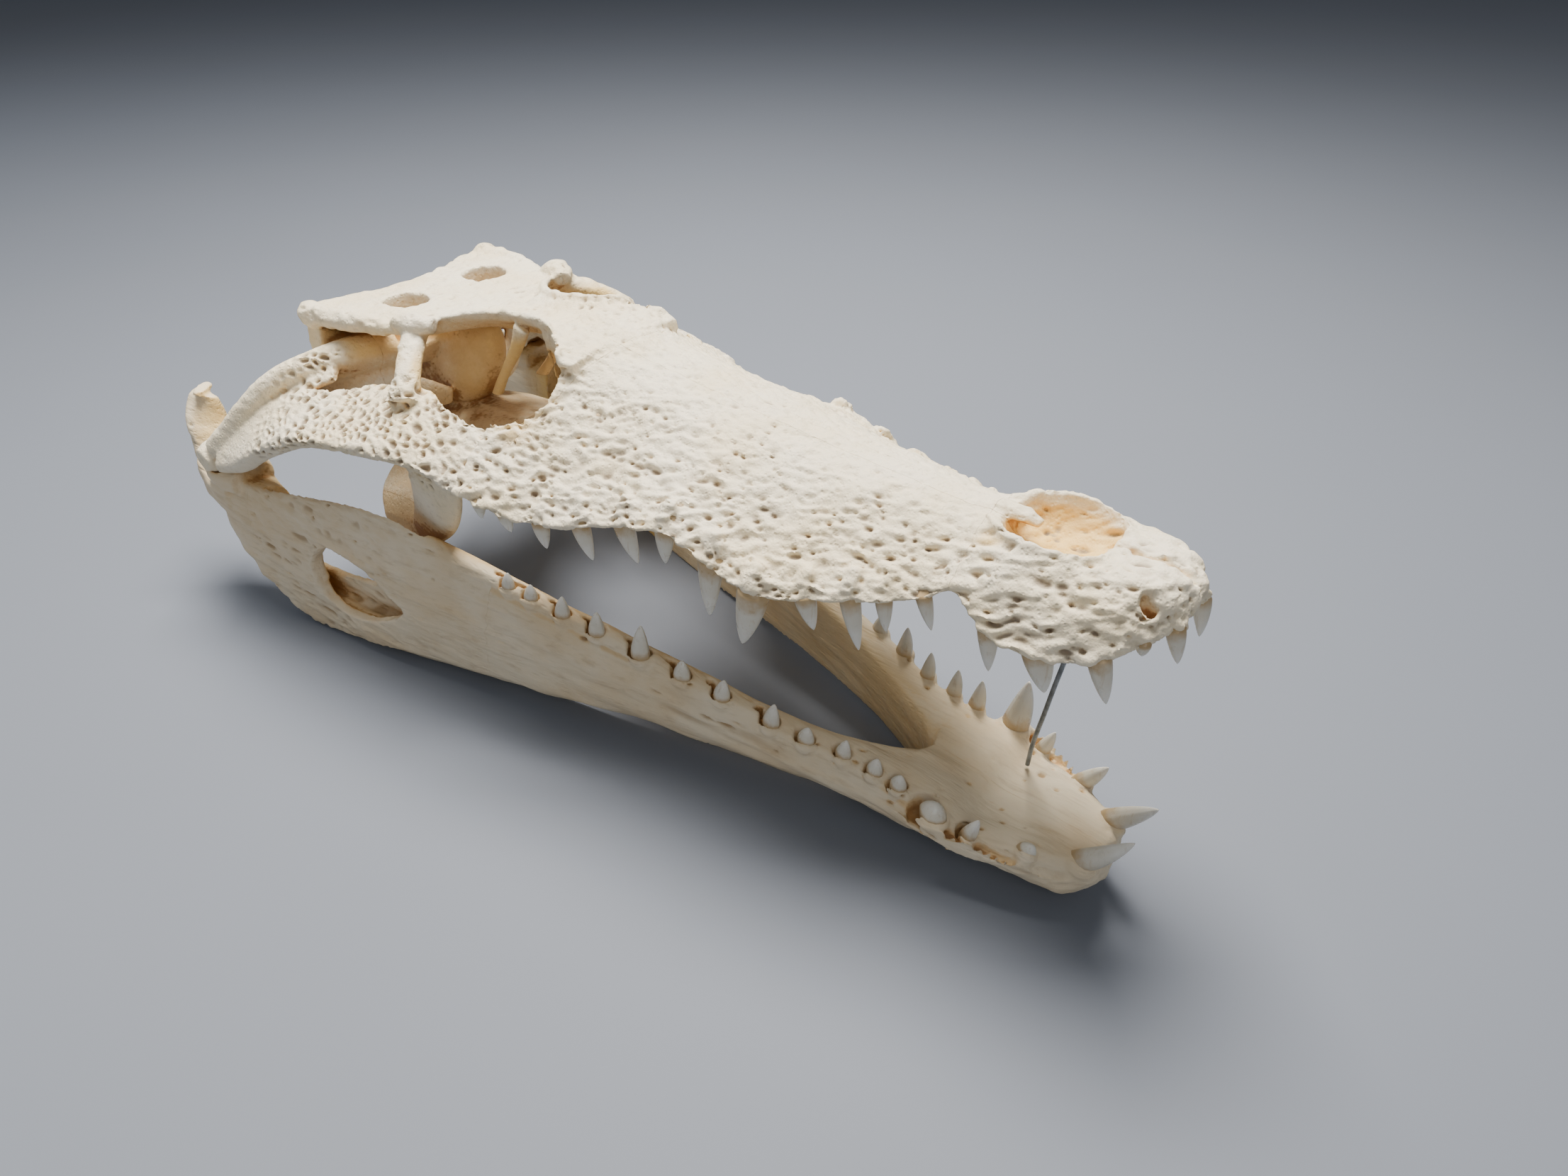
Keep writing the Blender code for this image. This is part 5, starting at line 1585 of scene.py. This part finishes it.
class LowerJaw(Bones):
    """The lower jaw, both halves."""

    def __init__(self) -> None:
        """Name its nodes and finish."""
        super().__init__("lower_jaw", JAW_FRAME, JAW_GRAIN, 5,
                         two_sided(("dentary", "surangular", "angular", "articular")), JawRelief(),
                         yellow_shade_jaw, Sheen.JAW)

    def ramus(self, side: float) -> Shape:
        """One half: a narrow foot, an outer face that slants up and out, a narrow top.

        Args:
            side: -1 for the animal's right, 1 for its left.

        Returns:
            The closed shape.
        """
        s = np.concatenate([[0.3, 1.2, 2.4], np.arange(4, 444, 2.0), [444]])
        out, inn, top = jaw_out(s), curve(JAW_IN)(s), jaw_top(s)
        base, foot = curve(JAW_BASE)(s), curve(JAW_FOOT)(s)
        inn = np.where(s < CHIN_END, -0.5, inn)
        wide, tall, slant = out - inn, top - base, out - foot
        open_side = wide * ramp(s, CHIN_END - 1, CHIN_END + 2)
        outline = [(inn + 0.1 * open_side, base),
                   (np.maximum(foot - 0.12 * wide, inn + 0.2 * open_side), base),
                   (foot + 0.45 * slant, base + 0.44 * slant),
                   (out - 0.12 * slant, base + 0.87 * slant), (out, base + 1.2 * slant + 2),
                   (out - 0.02 * wide, base + 0.68 * tall), (out - 0.1 * wide - 1, top - 0.1 * tall),
                   (out - 0.35 * wide, top), (inn + 0.25 * open_side, top - 0.04 * tall),
                   (inn + 0.03 * open_side, top - 0.16 * tall), (inn, base + 0.4 * tall)]
        y = np.stack([point[0] for point in outline], 1) * side
        z = np.stack([point[1] for point in outline], 1)
        rings = round_ring(np.stack([s[:, None] + 0 * y, y, z], -1), 4)
        rings[..., 2] = np.maximum(rings[..., 2], 0.0)
        return loft(rings, self.frame)

    def shapes(self) -> list[Shape]:
        """Both halves, their heels and saddles, and the swellings round the teeth.

        Returns:
            Closed shapes.
        """
        f = self.frame
        shapes = [self.ramus(side) for side in SIDES.values()]
        for word, side in SIDES.items():
            shapes += [
                # heel behind the joint, and the joint's saddle
                limb([(422, 90, 60), (438, 90, 56), (451, 89, 62), (459, 86, 74), (464, 83, 86),
                      (465.6, 80.5, 95), (465.2, 79.8, 99.5)],
                     [12, 12, 10.5, 9.5, 9.5, 8.5, 6.5], [14, 12, 9, 6, 5, 3.4, 2.8], f,
                     square=2.8, side=side),
                limb([(414, 90, 70), (426, 90, 71), (438, 89, 70)], [11, 14, 12], [7, 8, 8], f,
                     square=2.6, side=side),
            ]
            for number, tooth in enumerate(LOWER_TEETH, 1):
                _, _, radius, forward, _ = tooth
                s, y, z = lower_root(tooth, side)
                collar = 1.4 if word == "left" or number < 3 else 0.2
                shapes.append(limb([(s + 2 * forward, y - side * 0.5, z - 7), (s, y, z - 2.0),
                                    (s - forward, y, z + collar)],
                                   np.array([1.0, 1.5, 1.2]) * radius,
                                   np.array([1.1, 1.7, 1.3]) * radius, f, up=(1.0, 0.0, 0.0)))
        return shapes

    def openings(self) -> list[Shape]:
        """Joint sockets, side windows, muscle troughs and the sockets of worn teeth.

        Returns:
            Closed shapes.
        """
        f = self.frame
        stations = [296, 306, 320, 345, 370, 390, 400]
        inner = curve(JAW_IN)
        cutters = []
        for word, side in SIDES.items():
            knuckle = np.array([(436, y, -14) for y in (77, 84, 91, 98, 105)], float)
            path = JAW_FRAME.local(CRANIUM_FRAME.world(knuckle))
            radii = np.array([5.5, 8, 7, 8, 5.5]) + 0.6
            cutters += [
                # joint socket, side window, and the muscle trough's upper and lower halves
                limb(path, radii, radii, f, side=side),
                loft(round_ring(np.array([[(s, side * y(s), z) for s, z in JAW_WINDOW]
                                          for y in (lambda s: jaw_out(s) - 10.0, lambda s: 112.0)],
                                         float), 4), f),
                block(stations, lambda s: side * (30 + 0 * s), lambda s: side * (jaw_out(s) - 7.0),
                      curve(TROUGH_RIM), 130, f),
                block(stations, lambda s: side * (inner(s) + 4.0), lambda s: side * (jaw_out(s) - 5.5),
                      16, lambda s: curve(TROUGH_RIM)(s) + 2.0, f),
            ]
            for number, tooth in enumerate(LOWER_TEETH, 1):
                if number < 3:
                    continue
                radius = tooth[2]
                s, y, z = lower_root(tooth, side)
                if (word, number) not in SHORT_CROWNS and (word == "left" or number < 9):
                    continue
                wide = radius * 1.22 + 0.2
                shift, floor = (4.4, -10.0) if number == 4 else (1.6, -5.0)
                y -= side * SOCKET_INSET
                cutters.append(limb([(s + shift, y, z + floor), (s + shift, y, z + 7)], wide,
                                    wide * 1.2, f, up=(1.0, 0.0, 0.0)))
                if number > 8:
                    y -= side * SOCKET_INSET
                    cutters.append(limb([(s + 8.4, y, z - 5), (s + 8.4, y, z + 7)], 1.7, 2.3, f,
                                        up=(1.0, 0.0, 0.0)))
        return cutters

    def sutures(self) -> list[Shape]:
        """Walls between the jaw's bones, the chin's midline first.

        Returns:
            Thin closed shapes.
        """
        f = self.frame
        walls = [wavy_wall([(-20, 0, -30), (84, 0, -30), (84, 0, 60), (-20, 0, 60)], (0, 1, 0), f, 0.35)]
        for side in SIDES.values():
            walls += [
                wavy_wall([(276, 20, -30), (276, 140, -30), (250, 140, 110), (250, 20, 110)],
                          (1, 0, 0.2), f, 0.6, side),
                wavy_wall([(240, 20, 42), (412, 20, 42), (412, 140, 42), (240, 140, 42)], (0, 0, 1), f,
                          0.6, side),
                wavy_wall([(409, 20, -30), (409, 140, -30), (409, 140, 140), (409, 20, 140)],
                          (1, 0, 0), f, 0.5, side),
            ]
        return walls


@dataclass
class ToothRow:
    """The crowns of one side of one jaw, as curved cones with a ridge fore and aft."""

    name: str
    frame: BoneFrame
    teeth: list[tuple]
    side: float
    word: str
    up: float                   # 1 where crowns point up, -1 where they point down
    root: Callable[[tuple, float], Array]
    root_lean: float            # how far the root leans inwards for each millimetre of depth
    sink: float = 5.0           # depth of the root in the bone
    rings: int = 34
    around: int = 40

    def crown(self, number: int, tooth: tuple) -> tuple[Shape, Array]:
        """One crown on a path that bends inwards, and its root, which leans into the bone.

        With t from 0 at the bone to 1 at the tip, the half size falls as (1 - t^1.55)^0.75, and
        the path leaves its straight line by a tenth of the length times t squared.

        Args:
            number: the tooth's place in the row, from 1.
            tooth: its row of sizes.

        Returns:
            The closed shape and the share of the crown's height at each of its points.
        """
        _, length, radius, forward, outward = tooth
        if self.up > 0:
            length = SHORT_CROWNS.get((self.word, number), length)
        length, radius = length * LENGTH_GAIN, radius * WIDTH_GAIN
        base = self.root(tooth, self.side)
        aim = np.array([-forward, outward * self.side, self.up])
        aim /= np.linalg.norm(aim)
        t = np.linspace(-self.sink / length, 1.0, self.rings)[:-1]
        bend = 0.1 * length * np.clip(t, 0, None) ** 2
        tuck = self.root_lean * length * np.clip(-t, 0, None)
        path = base + t[:, None] * length * aim + bend[:, None] * np.array([0.6, -self.side, 0.0])
        path = path - tuck[:, None] * np.array([0.0, self.side, 0.0])
        size = radius * np.where(t < 0, 1.0 + 0.1 * t - 0.05 * tuck,
                                 (1 - np.clip(t, 0, 1) ** 1.55) ** 0.75)
        angle = np.arange(self.around) * 2.0 * math.pi / self.around
        ridge = 1.0 + 0.10 * np.abs(np.cos(angle)) ** 8
        flute = 1.0 + 0.012 * np.cos(angle * 12 + number)
        wide = np.cross((1.0, 0.0, 0.0), aim)
        wide /= np.linalg.norm(wide)
        fore = np.cross(aim, wide)
        rings = (path[:, None] + (size[:, None] * ridge * flute * np.cos(angle))[..., None] * fore
                 + 0.86 * (size[:, None] * flute * np.sin(angle))[..., None] * wide)
        apex = base + length * aim + 0.1 * length * np.array([0.6, -self.side, 0.0])
        shape = loft(rings, self.frame, apex)
        rise = np.concatenate([np.repeat(t, self.around), [t[0], 1.0]])
        return shape, rise

    def build(self, material: bpy.types.Material) -> bpy.types.Object:
        """Join the row's crowns into one piece and dress it.

        Args:
            material: the enamel.

        Returns:
            The row's object.
        """
        crowns = [self.crown(number, tooth) for number, tooth in enumerate(self.teeth, 1)]
        start = np.cumsum([0] + [len(shape.points) for shape, _ in crowns])
        whole = Shape(np.concatenate([shape.points for shape, _ in crowns]),
                      np.concatenate([shape.quads + k for (shape, _), k in zip(crowns, start)]),
                      np.concatenate([shape.tris + k for (shape, _), k in zip(crowns, start)]))
        row = whole.to_object(self.name, SHOW)
        row.data.shade_smooth()
        write_value(row.data, "rise", np.concatenate([rise for _, rise in crowns]))
        row.data.materials.append(material)
        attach(row, "root")
        LOG.info("%s: %d crowns", self.name, len(crowns))
        return row


@dataclass
class PropWire:
    """The bent wire that holds the mouth open."""

    radius: float = 0.9
    sides: int = 20

    def build(self, material: bpy.types.Material) -> bpy.types.Object:
        """Sweep a circle along the wire's smooth route and dress it.

        Args:
            material: the steel.

        Returns:
            The wire's object.
        """
        shape = limb(WIRE_ROUTE, self.radius, self.radius, JAW_FRAME, up=(0.0, 1.0, 0.0),
                     sides=self.sides, fill=10)
        wire = shape.to_object("wire_prop", SHOW)
        wire.data.shade_smooth()
        wire.data.set_sharp_from_angle(angle=SHARP_ANGLE)
        wire.data.materials.append(material)
        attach(wire, "root")
        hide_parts("prop_wire")
        LOG.info("wire: %.0f mm tall", WIRE_ROUTE[-1][2] - WIRE_ROUTE[0][2])
        return wire


@dataclass(frozen=True)
class Studio:
    """Pale floor, soft lamps and the camera at the photo's angle."""

    focal_px: float = 1479.7
    image_px: float = 2212.0
    sensor_mm: float = 36.0
    yaw: float = -0.696945
    pitch: float = 0.639396
    roll: float = -0.00998
    place: tuple[float, float, float] = (300.77, -264.07, 329.48)
    floor_colour: tuple[float, float, float] = (0.19, 0.21, 0.25)
    floor_reach: float = 6.0
    air_colour: tuple[float, float, float, float] = (0.62, 0.66, 0.74, 1.0)
    air_strength: float = 0.2
    lamps: tuple = (("key", (-0.15, 0.2, 1.15), 0.6, 40.0, (1.0, 0.955, 0.89)),
                    ("near", (0.9, -1.0, 1.1), 0.9, 5.0, (1.0, 0.98, 0.96)),
                    ("fill", (-1.4, -0.5, 0.9), 1.2, 4.0, (0.88, 0.93, 1.0)))

    def camera(self) -> bpy.types.Object:
        """Make the camera from its turn, pitch and roll.

        Returns:
            The camera's object.
        """
        data = bpy.data.cameras.new("photo_view")
        data.sensor_width = self.sensor_mm
        data.lens = self.focal_px / self.image_px * self.sensor_mm
        data.clip_start = 0.01
        camera = bpy.data.objects.new("photo_view", data)
        look = Vector((math.sin(self.yaw) * math.cos(self.pitch),
                       math.cos(self.yaw) * math.cos(self.pitch), -math.sin(self.pitch)))
        level = look.cross(Vector((0, 0, 1))).normalized()
        upright = level.cross(look)
        right = level * math.cos(self.roll) + upright * math.sin(self.roll)
        above = upright * math.cos(self.roll) - level * math.sin(self.roll)
        turn = Matrix((right, above, -look)).transposed().to_4x4()
        camera.matrix_world = Matrix.Translation(Vector(self.place) * MM) @ turn
        return camera

    def lamp(self, name: str, place: Sequence[float], size: float, power: float,
             colour: Sequence[float]) -> bpy.types.Object:
        """A square soft lamp that faces the skull.

        Args:
            name: the lamp's name.
            place: where it hangs, in metres.
            size: its edge in metres.
            power: watts.
            colour: its light.

        Returns:
            The lamp's object.
        """
        data = bpy.data.lights.new(name, "AREA")
        data.size = size
        data.energy = power
        data.color = colour
        lamp = bpy.data.objects.new(name, data)
        lamp.location = place
        lamp.rotation_mode = "QUATERNION"
        lamp.rotation_quaternion = (-Vector(place)).to_track_quat("-Z", "Y")
        return lamp

    def floor(self) -> bpy.types.Object:
        """A wide plain floor with a faint grain.

        Returns:
            The floor's object.
        """
        reach = self.floor_reach
        mesh = bpy.data.meshes.new("studio_floor")
        mesh.from_pydata([(-reach, -reach, 0), (reach, -reach, 0), (reach, reach, 0),
                          (-reach, reach, 0)], [], [(0, 1, 2, 3)])
        floor = bpy.data.objects.new("studio_floor", mesh)
        bench = NodeBench("studio_floor")
        grain = bench.noise(bench.place, 3.0, 3.0)
        darker = tuple(0.93 * value for value in self.floor_colour)
        bench.feed(bench.shader.inputs["Base Color"],
                   bench.mix(grain, (*self.floor_colour, 1), (*darker, 1)))
        bench.shader.inputs["Roughness"].default_value = 0.7
        mesh.materials.append(bench.material)
        return floor

    def build(self) -> None:
        """Put the studio round the skull."""
        scene = bpy.context.scene
        camera = self.camera()
        for thing in (camera, self.floor(), *(self.lamp(*row) for row in self.lamps)):
            scene.collection.objects.link(thing)
        scene.camera = camera
        world = bpy.data.worlds.new("studio_air")
        world.use_nodes = True
        air = world.node_tree.nodes["Background"]
        air.inputs["Color"].default_value = self.air_colour
        air.inputs["Strength"].default_value = self.air_strength
        scene.world = world


def dress_openness(pieces: Sequence[bpy.types.Object]) -> None:
    """Work out the sky's share over all pieces together and store it on each.

    Args:
        pieces: every bone of the cranium and lower jaw.
    """
    read = [read_points(piece.data) for piece in pieces]
    share = openness(np.concatenate([points for points, _ in read]),
                     np.concatenate([normals for _, normals in read]))
    start = 0
    for piece, (points, _) in zip(pieces, read):
        shade = share[start:start + len(points)]
        # painted shade: the lower tooth sockets get darker than their openness alone gives
        if piece.name.startswith("dentary"):
            shade = shade * (1 - 0.8 * socket_shade(JAW_FRAME.local(points)))
        write_value(piece.data, "openness", shade)
        start += len(points)


def main() -> None:
    """Build and dress the skull in its studio."""
    logging.basicConfig(level=logging.INFO, format="%(name)s: %(message)s")
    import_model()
    for collection in (WORKSHOP, SHOW):
        bpy.context.scene.collection.children.link(collection)
    Studio().build()
    finishes = {
        Sheen.CRANIUM: BoneFinish(Sheen.CRANIUM),
        # the jaw's deep and pit colours and their share set its painted shade
        Sheen.JAW: BoneFinish(Sheen.JAW, light=(0.80, 0.69, 0.50), warm=(0.74, 0.59, 0.38),
                              deep=(0.40, 0.20, 0.06), pit=(0.36, 0.24, 0.12), pit_shade_share=0.8,
                              streak=0.35,
                              stretch=(0.12, 1.0, 1.0)),
    }
    bones = [Cranium(), LowerJaw()]
    for body in bones:
        body.build()
        body.dress(finishes[body.sheen].material())
        LOG.info("%s is built", body.name)
    dress_openness([piece for body in bones for piece in body.pieces])
    enamel = EnamelFinish().material()
    for word, side in SIDES.items():
        ToothRow(f"upper_teeth_{word}", CRANIUM_FRAME, UPPER_TEETH, side, word, -1.0,
                 upper_root, 0.75).build(enamel)
        ToothRow(f"lower_teeth_{word}", JAW_FRAME, LOWER_TEETH, side, word, 1.0,
                 lower_root, 0.15).build(enamel)
    PropWire().build(SteelFinish().material())
    bpy.context.scene.collection.children.unlink(WORKSHOP)
    bpy.data.collections.remove(WORKSHOP)


if __name__ == "__main__":
    main()
